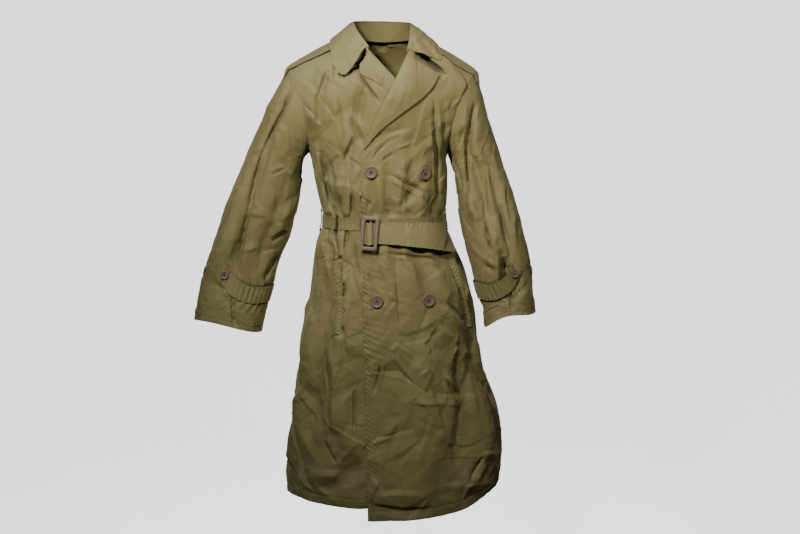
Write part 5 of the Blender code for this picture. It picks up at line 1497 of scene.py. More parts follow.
def grid(size, across=(0.0, 1.0), down=(0.0, 1.0)):
    """Even values across the columns and down the rows of a grid."""
    columns, rows = size
    return np.meshgrid(np.linspace(*across, columns), np.linspace(*down, rows))


def grid_normals(points, facing=None, closed=False):
    """Unit normals of a grid of points, turned to look along a direction."""
    if closed:
        around = np.roll(points, -1, axis=1) - np.roll(points, 1, axis=1)
    else:
        around = np.gradient(points, axis=1)
    normal = np.cross(around, np.gradient(points, axis=0))
    normal = normal / np.maximum(np.linalg.norm(normal, axis=-1, keepdims=True), 1e-12)
    if facing is None:
        facing = points - points.mean(axis=1, keepdims=True)
    if (normal * np.asarray(facing)).sum(axis=-1).mean() < 0:
        normal = -normal
    return normal


def moved(points, direction, distance):
    """Points moved along their directions, each by its own distance."""
    return points + direction * distance[..., None]


def lengths(points, axis):
    """Distance along the rows or columns of a grid, from its first one."""
    step = np.linalg.norm(np.diff(points, axis=axis), axis=-1)
    return np.insert(np.cumsum(step, axis=axis), 0, 0.0, axis=axis)


def relax(points, times):
    """A grid with its inner points moved towards the middle of their neighbours."""
    for _ in range(times):
        inner = points[:-2, 1:-1] + points[2:, 1:-1] + points[1:-1, :-2] + points[1:-1, 2:]
        points = points.copy()
        points[1:-1, 1:-1] = points[1:-1, 1:-1] * 0.5 + inner * 0.125
    return points


Cloth = namedtuple("Cloth", "obj outer normal inner")


def shell(node, outer, normal, thick, material, ending="cloth", closed=False):
    """A thin closed shell of cloth that stands for a CAD node."""
    name = f"{node}_{ending}"
    rows, columns = outer.shape[:2]
    inner = outer - normal * thick
    count = rows * columns
    index = np.arange(count).reshape(rows, columns)
    if closed:
        index = np.concatenate([index, index[:, :1]], axis=1)
    a, b, c, d = index[:-1, :-1], index[:-1, 1:], index[1:, 1:], index[1:, :-1]
    top = np.stack([a, b, c, d], axis=-1).reshape(-1, 4)
    rims = [(index[0, :-1], index[0, 1:]), (index[-1, 1:], index[-1, :-1])]
    if not closed:
        rims += [(index[1:, 0], index[:-1, 0]), (index[:-1, -1], index[1:, -1])]
    sides = [np.stack([q, p, p + count, q + count], axis=-1) for p, q in rims]
    faces = np.concatenate([top, top[:, ::-1] + count, *sides])
    points = np.concatenate([outer.reshape(-1, 3), inner.reshape(-1, 3)])
    middle = top[len(top) // 2]
    turned = np.cross(points[middle[1]] - points[middle[0]], points[middle[3]] - points[middle[0]])
    if turned @ normal.reshape(-1, 3)[middle[0]] < 0:
        faces = faces[:, ::-1]
    mesh = bpy.data.meshes.new(name)
    mesh.from_pydata(points.tolist(), [], faces.tolist())
    flat = np.stack([lengths(outer, 1), lengths(outer, 0)], axis=-1).reshape(-1, 2)
    flat = np.concatenate([flat, flat])
    corner = np.zeros(len(mesh.loops), dtype=np.int32)
    mesh.loops.foreach_get("vertex_index", corner)
    mesh.uv_layers.new(name="cut").data.foreach_set("uv", flat[corner].ravel())
    mesh.shade_smooth()
    mesh.set_sharp_from_angle(angle=math.radians(SHARP_ANGLE))
    return Cloth(settle(name, mesh, material, node), outer, normal, inner)


def linked(name, data):
    """A new object in the scene."""
    obj = bpy.data.objects.new(name, data)
    bpy.context.scene.collection.objects.link(obj)
    return obj


def settle(name, mesh, material, *nodes):
    """Adds a piece with its material and body, and hides the CAD nodes that it stands for."""
    mesh.materials.clear()
    mesh.materials.append(material)
    obj = linked(name, mesh)
    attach(obj, "root")
    if nodes:
        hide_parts(*nodes)
    return obj


def cover(*pieces):
    """What a piece of cloth has to stay under: one tree of the pieces that lie on it."""
    points, faces = [], []
    for piece in pieces:
        start = len(points)
        if isinstance(piece, Cloth):
            rows, columns = piece.inner.shape[:2]
            points += piece.inner.reshape(-1, 3).tolist()
            at = np.arange(rows * columns).reshape(rows, columns) + start
            quads = np.stack([at[:-1, :-1], at[:-1, 1:], at[1:, 1:], at[1:, :-1]], axis=-1)
            faces += quads.reshape(-1, 4).tolist()
        else:
            points += [piece.matrix_world @ vert.co for vert in piece.data.vertices]
            faces += [[start + k for k in face.vertices] for face in piece.data.polygons]
    return BVHTree.FromPolygons([mathutils.Vector(point) for point in points], faces)


def tuck(points, normal, over):
    """Moves a grid of points in under what lies over it, and eases the cloth round it."""
    push = np.zeros(points.shape[:2])
    for at in np.ndindex(push.shape):
        out = mathutils.Vector(normal[at])
        start = mathutils.Vector(points[at]) - out * TUCK_REACH
        hit = over.ray_cast(start, out, TUCK_REACH + TUCK_GAP)
        if hit[3] is not None:
            push[at] = max(hit[3] - TUCK_REACH - TUCK_GAP, -TUCK_DEEPEST)
    for _ in range(TUCK_ROUNDS):
        spread = push.copy()
        spread[1:-1, 1:-1] = (push[:-2, 1:-1] + push[2:, 1:-1] + push[1:-1, :-2] + push[1:-1, 2:]) / 4
        push = np.minimum(push, spread)
    return moved(points, normal, push)


def body_point(angle, z, lift):
    """A point off the body's panels below the armpits, at an angle round it in degrees."""
    angle, row = np.broadcast_arrays(turned(np.asarray(angle, float), 0.0), row_of(z))
    over = front_across(1.0, angle, row)
    on_left = front_panel(1.0, np.clip(over, 0.0, 1.0), row)
    on_right = front_panel(-1.0, np.clip(front_across(-1.0, angle, row), 0.0, 1.0), row)
    on_back = back_panel(0.5 + ((360.0 - angle) % 360.0 - 180.0) / 180.0, row)
    point = np.where((over >= 0.0)[..., None], on_left, on_right)
    point = np.where((np.abs(angle) > 90.0)[..., None], on_back, point)
    out_x, out_y = away_from_axis(point[..., 0], point[..., 1], point[..., 2])
    return point + np.stack([out_x * lift, out_y * lift, np.zeros(out_x.shape)], axis=-1)


# Panels and sleeves


def panel_rows():
    low = np.linspace(0.0, 1.0, LOW_ROWS + 1)
    high = 1.0 + np.linspace(0.0, 1.0, HIGH_ROWS + 1)
    return np.concatenate([low, high[1:]])


def belt_hold(z):
    """0 under the belt, 1 away from it."""
    return ease((np.abs(z - BELT_Z) - BELT_HEIGHT / 2 + BELT_HOLD) / BELT_FADE)


def shape_front(side):
    """The points of a front, with its creases, crumple and puckered edges."""
    step = np.linspace(0.0, 1.0, FRONT_COLUMNS + 1)
    across, row = np.meshgrid(mix(step, step**2, EDGE_CROWD), panel_rows())
    base = front_panel(side, across, row)
    normal = grid_normals(base, FORWARD)
    x, y, z = np.moveaxis(base, -1, 0)
    u, v = photo_place(base)
    creases = LEFT_FRONT_CREASES if side > 0 else RIGHT_FRONT_CREASES
    hollows = LEFT_FRONT_HOLLOWS if side > 0 else RIGHT_FRONT_HOLLOWS
    seed = 11 if side > 0 else 21
    seen = seen_from_front(base, normal)
    lift = CREASE_SHARE * crease_height(creases, u, v, CREASE_SPREAD) * seen
    around = np.radians(angle_round(x, y, z)) * FOLD_RADIUS
    calm = mix(1.0, CHEST_CALM, ease((z - CHEST_Z) / CHEST_FADE))
    lift = lift + calm * crumple(around, z, seed, BODY_CRUMPLE, scatter(seed, FRONT_STREWN))
    lift = lift * belt_hold(z)
    if side > 0:
        lift = lift + sewn_edge(z, row, lengths(base, 1))
    lift = lift + sewn_hem(around, lengths(base, 0), 35)
    held = ease((1 - across) / SIDE_FADE) * ease((2 - row) / SHOULDER_FADE)
    held = held * np.where(row > 1.0, ease(across / SIDE_FADE), 1.0)
    deep = crease_height(hollows, u, v) * seen * held
    return moved(moved(base, normal, lift * held), to_camera(base), deep)


def sewn_edge(z, row, from_edge):
    """Gathers and stitched groove along the left front's free edge, below its lapel."""
    lower = ease((EDGE_TOP_ROW - row) / EDGE_TOP_FADE)
    wide = ease((z - WIDE_LOW_Z) / WIDE_LOW_FADE) * ease((WIDE_HIGH_Z - z) / WIDE_HIGH_FADE)
    edge = puckers(z, from_edge, EDGE_GATHER, 31) - pressed(from_edge, EDGE_GROOVE)
    return lower * edge + wide * puckers(z, from_edge, WIDE_GATHER, 33)


def sewn_hem(around, from_hem, seed):
    """Gathers and stitched groove along the hem."""
    return puckers(around, from_hem, HEM_GATHER, seed) - pressed(from_hem, HEM_GROOVE)


def shape_back():
    """The points of the back, with creases, crumple and hem."""
    across, row = np.meshgrid(np.linspace(0.0, 1.0, BACK_COLUMNS + 1), panel_rows())
    base = back_panel(across, row)
    normal = grid_normals(base, BACKWARD)
    x, y, z = np.moveaxis(base, -1, 0)
    lift = CREASE_SHARE * crease_height(BACK_CREASES, -x * 1000, -z * 1000, CREASE_SPREAD)
    around = np.radians(angle_round(x, y, z) % 360.0) * FOLD_RADIUS
    lift = (lift + crumple(around, z, 41, BODY_CRUMPLE, scatter(41, BACK_STREWN))) * belt_hold(z)
    lift = lift + sewn_hem(around, lengths(base, 0), 45)
    held = ease(across / BACK_SIDE_FADE) * ease((1 - across) / BACK_SIDE_FADE)
    held = held * ease((2 - row) / SHOULDER_FADE)
    return moved(base, normal, lift * held)


def strap_pull(around, angle, share, seed):
    """How a cuff strap draws its sleeve in, and the gathers beside the strap."""
    strapped = ease((angle - STRAP_TIP + PULL_PAST_TIP) / PULL_TIP_FADE)
    strapped = strapped * ease((STRAP_START - PULL_SHORT - angle) / PULL_START_FADE)
    off_strap = share - strap_share(np.clip(angle, STRAP_TIP + STRAP_ROUND, STRAP_START), 0.0)
    off_strap = (np.abs(off_strap) - STRAP_WIDTH / 2) * SLEEVE_LENGTH
    gathers = puckers(around, np.clip(off_strap, 0.0, None), PULL_GATHER, seed)
    return strapped * (gathers - STRAP_PULL * ease((PULL_REACH - off_strap) / PULL_FADE))


def shape_sleeve(form):
    """The points of a sleeve, with its creases, crumple and hem, and the pull of its strap."""
    angles = np.arange(SLEEVE_COLUMNS) * 360.0 / SLEEVE_COLUMNS
    angle, share = np.meshgrid(angles, np.linspace(0.0, 1.0, SLEEVE_ROWS + 1))
    base = sleeve_point(form.rings, form.folds, angle, cuff_share(form.raised, angle, share))
    normal = grid_normals(base, closed=True)
    u, v = photo_place(base)
    seen = seen_from_front(base, normal)
    around, down = np.radians(angle) * SLEEVE_RADIUS, share * SLEEVE_LENGTH
    below_armhole = ease(share / ARMHOLE_FADE)
    lift = CREASE_SHARE * crease_height(form.creases, u, v, CREASE_SPREAD) * seen
    behind = crease_height(SLEEVE_BACK_CREASES, around * 1000, down * 1000)
    lift = lift + CREASE_SHARE * behind * (1 - seen)
    small = scatter(form.seed, SLEEVE_STREWN)
    once = crumple(around, down, form.seed, SLEEVE_CRUMPLE, small)
    round_again = crumple(around - math.tau * SLEEVE_RADIUS, down, form.seed, SLEEVE_CRUMPLE, small)
    lift = lift + SLEEVE_CALM * mix(round_again, once, ease((360.0 - angle) / SLEEVE_BLEND))
    lift = lift * below_armhole + strap_pull(around, angle, share, form.seed + 9)
    from_end = (1 - share) * SLEEVE_LENGTH
    lift = lift + puckers(around, from_end, CUFF_GATHER, form.seed + 7) - pressed(from_end, CUFF_GROOVE)
    deep = crease_height(form.hollows, u, v) * seen * below_armhole
    return moved(moved(base, normal, lift), to_camera(base), deep)


def make_panel(node, points, facing, *covers, closed=False):
    """A front, the back or a sleeve, tucked in under what lies over it."""
    normal = grid_normals(points, facing, closed)
    for over in covers:
        points = tuck(points, normal, cover(*over))
    return shell(node, points, grid_normals(points, facing, closed), SHELL, olive, closed=closed)


# Collar and lapels


def make_fall():
    """The collar's fall, from its fold to its free edge."""
    share, down = grid(COLLAR_GRID)
    base = relax(collar_point(share, down), COLLAR_RELAX)
    normal = grid_normals(base, UPWARD)
    along, across = lengths(base, 1), lengths(base, 0)
    free = across[-1] - across
    u, v = photo_place(base)
    lift = crease_height(COLLAR_CREASES, u, v) * ease((-base[..., 1]) / COLLAR_FRONT_FADE)
    lift = lift + crumple(along, across, 51, COLLAR_CRUMPLE)
    lift = lift + puckers(along, free, COLLAR_GATHER, 53) - pressed(free, COLLAR_GROOVE)
    points = moved(base, normal, lift * ease(down / COLLAR_FOLD_FADE))
    return shell("collar_fall", points, grid_normals(points, UPWARD), CLOTH, olive)


def make_stand():
    """The collar's stand, between the neck's seam and the fold."""
    share, up = grid(STAND_GRID)
    points = mix(neck_seam(share), collar_fold(share), up[..., None])
    normal = grid_normals(points, points * LEVEL)
    lift = crumple(lengths(points, 1), up * 0.04, 55, STAND_CRUMPLE)
    points = moved(points, normal, lift)
    return shell("collar_stand", points, normal, STAND_SHELL, olive)


def make_lapel(node, side, table):
    """A lapel, standing off a little towards its free edge."""
    across, along = grid(LAPEL_GRID)
    base = lapel_point(side, table, along, across)
    normal = grid_normals(base, FORWARD)
    up, out = lengths(base, 0), lengths(base, 1)
    free = out[:, -1:] - out
    u, v = photo_place(base)
    stand = LEFT_LAPEL_STAND if side > 0 else RIGHT_LAPEL_STAND
    standing = stand * across**LAPEL_STAND_POWER * ease(along / LAPEL_STAND_FADE)
    lift = crease_height(LAPEL_CREASES, u, v) + standing
    lift = lift + crumple(out, up, 61 if side > 0 else 65, LAPEL_CRUMPLE)
    lift = lift + puckers(up, free, LAPEL_GATHER, 67) - pressed(free, COLLAR_GROOVE)
    points = moved(base, normal, lift * ease(across / LAPEL_ROLL_FADE))
    return shell(node, points, grid_normals(points, FORWARD), CLOTH, olive)


# Belt, straps and welts


def make_belt():
    """The belt's run round the waist, from under the buckle to its other side."""
    start = belt_angle(BUCKLE_X)
    end = 360.0 + belt_angle(BUCKLE_X - BUCKLE_WIDTH / 2 - BELT_END_GAP)
    angle, up = grid(BELT_GRID, (start, end), (-0.5, 0.5))
    base = body_point(angle, BELT_Z + up * BELT_HEIGHT, BELT_LIFT)
    normal = grid_normals(base, base * LEVEL)
    along = lengths(base, 1)
    lift = crumple(along, up * BELT_HEIGHT, 71, BELT_CRUMPLE)
    lift = lift + puckers(along, 0.0 * up, BELT_GATHER, 73)
    points = moved(base, normal, lift + BELT_GATHER.height)
    return shell("belt_waist", points, normal, BELT_SHELL, olive)


def make_tail():
    """The belt's free end, smooth in the buckle and crumpled past it."""
    angle, down = grid(TAIL_GRID, (TAIL[0].angle, TAIL[-1].angle))
    base = tail_point(angle, down)
    normal = grid_normals(base, FORWARD)
    along, across = lengths(base, 1), lengths(base, 0)
    edge = np.minimum(across, across[-1] - across)
    lift = crumple(along, across, 75, TAIL_CRUMPLE) + puckers(along, edge, TAIL_GATHER, 77)
    free = ease((angle - belt_angle(BUCKLE_X + BUCKLE_WIDTH / 2)) / TAIL_FREE_FADE)
    points = moved(base, normal, lift * free)
    return shell("belt_tail", points, grid_normals(points, FORWARD), CLOTH, olive)


def make_band(node, band):
    """A ribbed tape over the belt: a belt loop or the keeper."""
    step, across = grid(BAND_GRID, (-1.0, 1.0), (-0.5, 0.5))
    z = BELT_Z + step * band.height / 2
    angle = band.angle + across * math.degrees(band.width / BAND_RADIUS)
    clear = (BELT_HEIGHT / 2 + BAND_PAST_BELT) / (band.height / 2)
    over_belt = ease((clear + BAND_BEND - np.abs(step)) / BAND_BEND)
    lift = LAYER_GAP + (LAYER_GAP + CLOTH) * over_belt + CLOTH
    lift = lift + BAND_RIB * np.cos(math.tau * across * BAND_RIBS)
    points = body_point(angle, z, lift + BAND_CLEAR)
    normal = grid_normals(points, points * LEVEL)
    return shell(node, points, normal, TAPE_SHELL, olive_dark, "tape")


def make_welt(node, welt):
    """A pocket's welt, sunk at the edge where the pocket opens."""
    down, across = grid(WELT_GRID, down=(-0.5, 0.5))
    z = mix(welt.top_z, welt.end_z, down)
    angle = mix(welt.angle_top, welt.angle_end, down) + across * math.degrees(WELT_WIDTH / WELT_RADIUS)
    base = body_point(angle, z, LAYER_GAP + CLOTH)
    normal = grid_normals(base, base * LEVEL)
    along, wide = lengths(base, 1), lengths(base, 0)
    edge = np.minimum(wide, wide[-1] - wide)
    lift = puckers(along, edge, WELT_GATHER, 81 if welt.angle_top > 0 else 83)
    lift = lift + crumple(along, wide, 85, WELT_CRUMPLE)
    lift = lift - WELT_DIP * ease(0.5 - np.sign(welt.angle_top) * across)
    points = moved(base, normal, lift)
    return shell(node, points, grid_normals(points, normal), CLOTH, olive)


def sleeve_off(rings, folds, angle, share, lift):
    """A point off a sleeve's plain form, and the way out of the sleeve there."""

    def at(turn, down):
        return sleeve_point(rings, folds, turn, down)

    around = at(angle + 0.5, share) - at(angle - 0.5, share)
    normal = np.cross(around, at(angle, share + 0.004) - at(angle, share - 0.004))
    normal = normal / np.linalg.norm(normal, axis=-1, keepdims=True)
    out = at(angle, share) - (at(0.0 * angle, share) + at(0.0 * angle + 180.0, share)) / 2
    normal = normal * np.sign((normal * out).sum(axis=-1, keepdims=True))
    return moved(at(angle, share), normal, lift), normal


def make_cuff_strap(node, form):
    """A strap round the front of a sleeve; its upper edge may gape."""
    angle, step = grid(STRAP_GRID, (STRAP_START, STRAP_TIP), (-1.0, 1.0))
    share = strap_share(angle, step)
    lift = mix(SEAM_GAP, STRAP_GAP, ease((STRAP_START - angle) / STRAP_SEWN)) + CLOTH
    gape = form.strap_gape * bell(angle - STRAP_GAPE_ANGLE, STRAP_GAPE_SPREAD)
    lift = lift + gape * mix(1.0, 0.25, (step + 1) / 2)
    base, normal = sleeve_off(form.rings, form.folds, angle, share, lift)
    along, across = lengths(base, 1), lengths(base, 0)
    edge = np.minimum(across, across[-1] - across)
    move = crumple(along, across, 87, STRAP_CRUMPLE) + puckers(along, edge, STRAP_GATHER, 89)
    move = move + puckers(along, 0.0 * across, STRAP_RIBS, 90)
    points = moved(base, normal, move)
    return shell(node, points, grid_normals(points, normal), CLOTH, olive)


def make_shoulder_loop(node, side, under):
    """A strap over the shoulder seam, laid down on what is under it."""
    knots = column(SHOULDER_LOOP, "x")
    share, reach = grid(LOOP_GRID, down=(knots[0], knots[-1]))
    front_y = smooth(reach, knots, column(SHOULDER_LOOP, "front_y"))
    back_y = smooth(reach, knots, column(SHOULDER_LOOP, "back_y"))
    points = np.stack([side * reach, mix(front_y, back_y, share), np.zeros(reach.shape)], axis=-1)
    down = mathutils.Vector((0.0, 0.0, -1.0))
    for at in np.ndindex(reach.shape):
        x, y = points[at][:2]
        hit = under.ray_cast(mathutils.Vector((x, y, ABOVE_COAT_Z)), down)
        plain = shoulder_height(x, y)
        points[at][2] = np.clip(hit[0].z, plain - LOOP_SINK, plain + LOOP_RISE)
    points = relax(points, LOOP_RELAX)
    normal = grid_normals(points, UPWARD)
    along, across = lengths(points, 0), lengths(points, 1)
    edge = np.minimum(across, across[:, -1:] - across)
    lift = crumple(along, across, 91, LOOP_CRUMPLE) + puckers(along, edge, LOOP_GATHER, 93)
    lift = lift + LAYER_GAP + CLOTH + LOOP_EDGE_LIFT * (1 - share) ** 3
    points = moved(points, normal, lift)
    return shell(node, points, normal, LOOP_SHELL, olive)


# Buckle and buttons


def join_rings(shape, rings):
    """Faces from each ring of vertices to the next."""
    for ring, after in zip(rings, rings[1:]):
        for k in range(len(ring)):
            m = (k + 1) % len(ring)
            shape.faces.new((ring[k], ring[m], after[m], after[k]))


def add_rod(shape, radius, depth, segments):
    """The vertices of a closed upright rod."""
    rod = bmesh.ops.create_cone(
        shape, cap_ends=True, segments=segments, radius1=radius, radius2=radius, depth=depth
    )
    return rod["verts"]


def mesh_of(shape, name):
    """A mesh of a finished shape."""
    mesh = bpy.data.meshes.new(name)
    shape.to_mesh(mesh)
    shape.free()
    return mesh


def make_buckle():
    """A rounded frame with a bar down its middle, lying on the belt's free end."""
    border = 2 * BUCKLE_BORDER
    outer = rounded_frame(BUCKLE_WIDTH, BUCKLE_HEIGHT, BUCKLE_CORNER)
    inner = rounded_frame(BUCKLE_WIDTH - border, BUCKLE_HEIGHT - border, BUCKLE_CORNER / 3)
    shape = bmesh.new()
    rings = []
    for turn in np.linspace(0.0, math.tau, BUCKLE_ROUND, endpoint=False):
        share = 0.5 - 0.5 * signed_power(np.cos(turn), BUCKLE_SIDE_POWER)
        height = 0.5 + 0.5 * signed_power(np.sin(turn), BUCKLE_FACE_POWER)
        around = mix(outer, inner, share)
        rings.append([shape.verts.new((p[0], -height * BUCKLE_THICK, p[1])) for p in around])
    join_rings(shape, rings + rings[:1])
    bar = add_rod(shape, BAR_WIDTH / 2, BUCKLE_HEIGHT - BUCKLE_BORDER, 20)
    bmesh.ops.scale(shape, vec=(1.0, BAR_THICK / BAR_WIDTH, 1.0), verts=bar)
    bmesh.ops.translate(shape, vec=(0.0, BAR_THICK / 2 - BAR_SINK, 0.0), verts=bar)
    bmesh.ops.recalc_face_normals(shape, faces=shape.faces)
    shape.transform(buckle_frame())
    mesh = mesh_of(shape, "buckle_moulded")
    mesh.shade_smooth()
    mesh.set_sharp_from_angle(angle=math.radians(50))
    return settle("buckle_moulded", mesh, horn, "buckle")


def button_seat(node):
    """Middle of a CAD button's back, and the way that it looks."""
    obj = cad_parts[node]
    points = np.array([vert.co for vert in obj.data.vertices])
    centre = (points.min(axis=0) + points.max(axis=0)) / 2
    axis = np.linalg.svd(points - points.mean(axis=0))[2][2]
    axis = axis * np.sign(-axis[1])
    heights = (points - centre) @ axis
    return centre + axis * heights.min(), axis


def button_blank(radius, thick):
    """A turned button with a raised rim, before its holes."""
    shape = bmesh.new()
    rings = []
    for row in BUTTON_FORM:
        ring = []
        for turn in np.linspace(0.0, math.tau, BUTTON_ROUND, endpoint=False):
            x, y = row.share * radius * math.cos(turn), row.share * radius * math.sin(turn)
            ring.append(shape.verts.new((x, y, row.height * thick)))
        rings.append(ring)
    join_rings(shape, rings)
    shape.faces.new(list(reversed(rings[0])))
    shape.faces.new(rings[-1])
    bmesh.ops.recalc_face_normals(shape, faces=shape.faces)
    return mesh_of(shape, "button_form")


def button_holes(radius, thick):
    """Four rods where a button's holes go."""
    shape = bmesh.new()
    for turn in (45, 135, 225, 315):
        x = HOLE_PLACE * radius * math.cos(math.radians(turn))
        y = HOLE_PLACE * radius * math.sin(math.radians(turn))
        rod = add_rod(shape, HOLE_RADIUS * radius, 4 * thick, 16)
        bmesh.ops.translate(shape, vec=(x, y, 0.0), verts=rod)
    return mesh_of(shape, "button_holes")


def turned_button(radius, thick):
    """A button with its four holes cut, as a mesh on its own axis."""
    body = linked("button_form", button_blank(radius, thick))
    holes = linked("button_holes", button_holes(radius, thick))
    cut = body.modifiers.new("holes", "BOOLEAN")
    cut.operation = "DIFFERENCE"
    cut.solver = "EXACT"
    cut.object = holes
    seen = body.evaluated_get(bpy.context.evaluated_depsgraph_get())
    done = bpy.data.meshes.new_from_object(seen)
    bpy.data.objects.remove(body)
    bpy.data.objects.remove(holes)
    done.shade_smooth()
    done.set_sharp_from_angle(angle=math.radians(40))
    return done


def thread_ring(shape, step, shift, turn, radius, thick):
    """One ring of vertices round a strand of a button's thread."""
    height = THREAD_SEAT * thick + THREAD_ARCH * thick * (1 - step**4)
    height = height - THREAD_DIVE * thick * (abs(step) > THREAD_DIVE_START)
    ring = []
    for k in range(THREAD_ROUND):
        around = math.tau * k / THREAD_ROUND
        side = shift * HOLE_RADIUS * radius + THREAD_WIDE * math.cos(around)
        high = height + THREAD_HIGH * math.sin(around)
        point = mathutils.Vector((step * HOLE_PLACE * radius, side, high))
        point.rotate(mathutils.Euler((0.0, 0.0, math.radians(turn))))
        ring.append(shape.verts.new(point))
    return ring


def button_thread(name, place, radius, thick):
    """Thread through a button's holes: two crossed pairs of strands over its dished middle."""
    shape = bmesh.new()
    for turn in (45.0, 135.0):
        for shift in (-THREAD_APART, THREAD_APART):
            steps = np.linspace(-1.0, 1.0, THREAD_STEPS)
            join_rings(shape, [thread_ring(shape, step, shift, turn, radius, thick) for step in steps])
    bmesh.ops.recalc_face_normals(shape, faces=shape.faces)
    shape.transform(place)
    mesh = mesh_of(shape, name)
    mesh.shade_smooth()
    settle(name, mesh, olive_dark)


def make_buttons():
    """Every button at its CAD node's place; returns them by node."""
    sizes = {"front": (BUTTON_RADIUS, BUTTON_THICK), "cuff": (CUFF_BUTTON_RADIUS, CUFF_BUTTON_THICK)}
    forms = {kind: turned_button(*size) for kind, size in sizes.items()}
    made = {}
    for number, node in enumerate(sorted(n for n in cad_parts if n.startswith("button_"))):
        kind = node.split("_")[1]
        centre, axis = button_seat(node)
        turn = mathutils.Vector(axis).to_track_quat("Z", "Y").to_matrix().to_4x4()
        spin = mathutils.Matrix.Rotation(math.radians(BUTTON_SPIN + BUTTON_SPIN_STEP * number), 4, "Z")
        place = mathutils.Matrix.Translation(centre) @ turn @ spin
        own = forms[kind].copy()
        own.transform(place)
        made[node] = settle(f"{node}_moulded", own, horn, node)
        button_thread(f"{node}_thread", place, *sizes[kind])
    return made


# Stitching


def seam_line(piece, seam):
    """Points and normals at an even distance from one edge of a cloth's grid."""
    outer, normal = piece.outer, piece.normal
    if seam.edge in ("top", "foot"):
        outer, normal = outer.swapaxes(0, 1), normal.swapaxes(0, 1)
    if seam.edge in ("end", "foot"):
        outer, normal = outer[:, ::-1], normal[:, ::-1]
    away = lengths(outer, 1)
    chosen = range(round(seam.end * (len(outer) - 1)) + 1)

    def at(values, row):
        return [np.interp(seam.inset, away[row], values[row, :, k]) for k in range(3)]

    return np.array([at(outer, row) for row in chosen]), np.array([at(normal, row) for row in chosen])


def make_stitches(name, lines):
    """A run of raised stitches along each line of points and normals, as one piece."""
    points, faces = [], []
    for path, normal in lines:
        step = np.linalg.norm(np.diff(path, axis=0), axis=-1)
        length = np.insert(np.cumsum(step), 0, 0.0)
        middle = np.arange(STITCH_PITCH, length[-1] - STITCH_PITCH, STITCH_PITCH)

        def at(values, where):
            return np.stack([np.interp(where, length, values[:, k]) for k in range(3)], axis=-1)

        head, foot = at(path, middle + STITCH_LENGTH / 2), at(path, middle - STITCH_LENGTH / 2)
        out = at(normal, middle)
        out = out / np.linalg.norm(out, axis=-1, keepdims=True)
        side = np.cross(out, head - foot)
        side = side / np.linalg.norm(side, axis=-1, keepdims=True) * STITCH_WIDTH / 2
        centre = (head + foot) / 2
        ring = [head, centre + side, foot, centre - side, centre + out * STITCH_HEIGHT]
        start = len(points)
        for k in range(len(middle)):
            points += [corner[k].tolist() for corner in ring]
            first = start + 5 * k
            faces += [(first + m, first + (m + 1) % 4, first + 4) for m in range(4)]
            faces.append((first + 3, first + 2, first + 1, first))
    mesh = bpy.data.meshes.new(name)
    mesh.from_pydata(points, [], faces)
    mesh.shade_smooth()
    return settle(name, mesh, thread)


# Materials


def new_material(name):
    made = bpy.data.materials.new(name)
    made.use_nodes = True
    return made, made.node_tree.nodes, made.node_tree.links


def noise(nodes, links, coords, scale, detail=3.0, rough=0.55):
    made = nodes.new("ShaderNodeTexNoise")
    made.inputs["Scale"].default_value = scale
    made.inputs["Detail"].default_value = detail
    made.inputs["Roughness"].default_value = rough
    links.new(coords, made.inputs["Vector"])
    return made.outputs["Fac"]


def ramp(nodes, links, value, stops):
    made = nodes.new("ShaderNodeValToRGB")
    elements = made.color_ramp.elements
    elements[0].position, elements[0].color = stops[0][0], (*stops[0][1], 1.0)
    elements[1].position, elements[1].color = stops[-1][0], (*stops[-1][1], 1.0)
    for place, colour in stops[1:-1]:
        elements.new(place).color = (*colour, 1.0)
    links.new(value, made.inputs["Fac"])
    return made.outputs["Color"]


def math_node(nodes, links, operation, first, second):
    made = nodes.new("ShaderNodeMath")
    made.operation = operation
    for socket, value in zip(made.inputs, (first, second)):
        if isinstance(value, (int, float)):
            socket.default_value = value
        else:
            links.new(value, socket)
    return made.outputs[0]


def bump(nodes, links, height, strength, distance, before=None):
    made = nodes.new("ShaderNodeBump")
    made.inputs["Strength"].default_value = strength
    made.inputs["Distance"].default_value = distance
    links.new(height, made.inputs["Height"])
    if before is not None:
        links.new(before, made.inputs["Normal"])
    return made.outputs["Normal"]


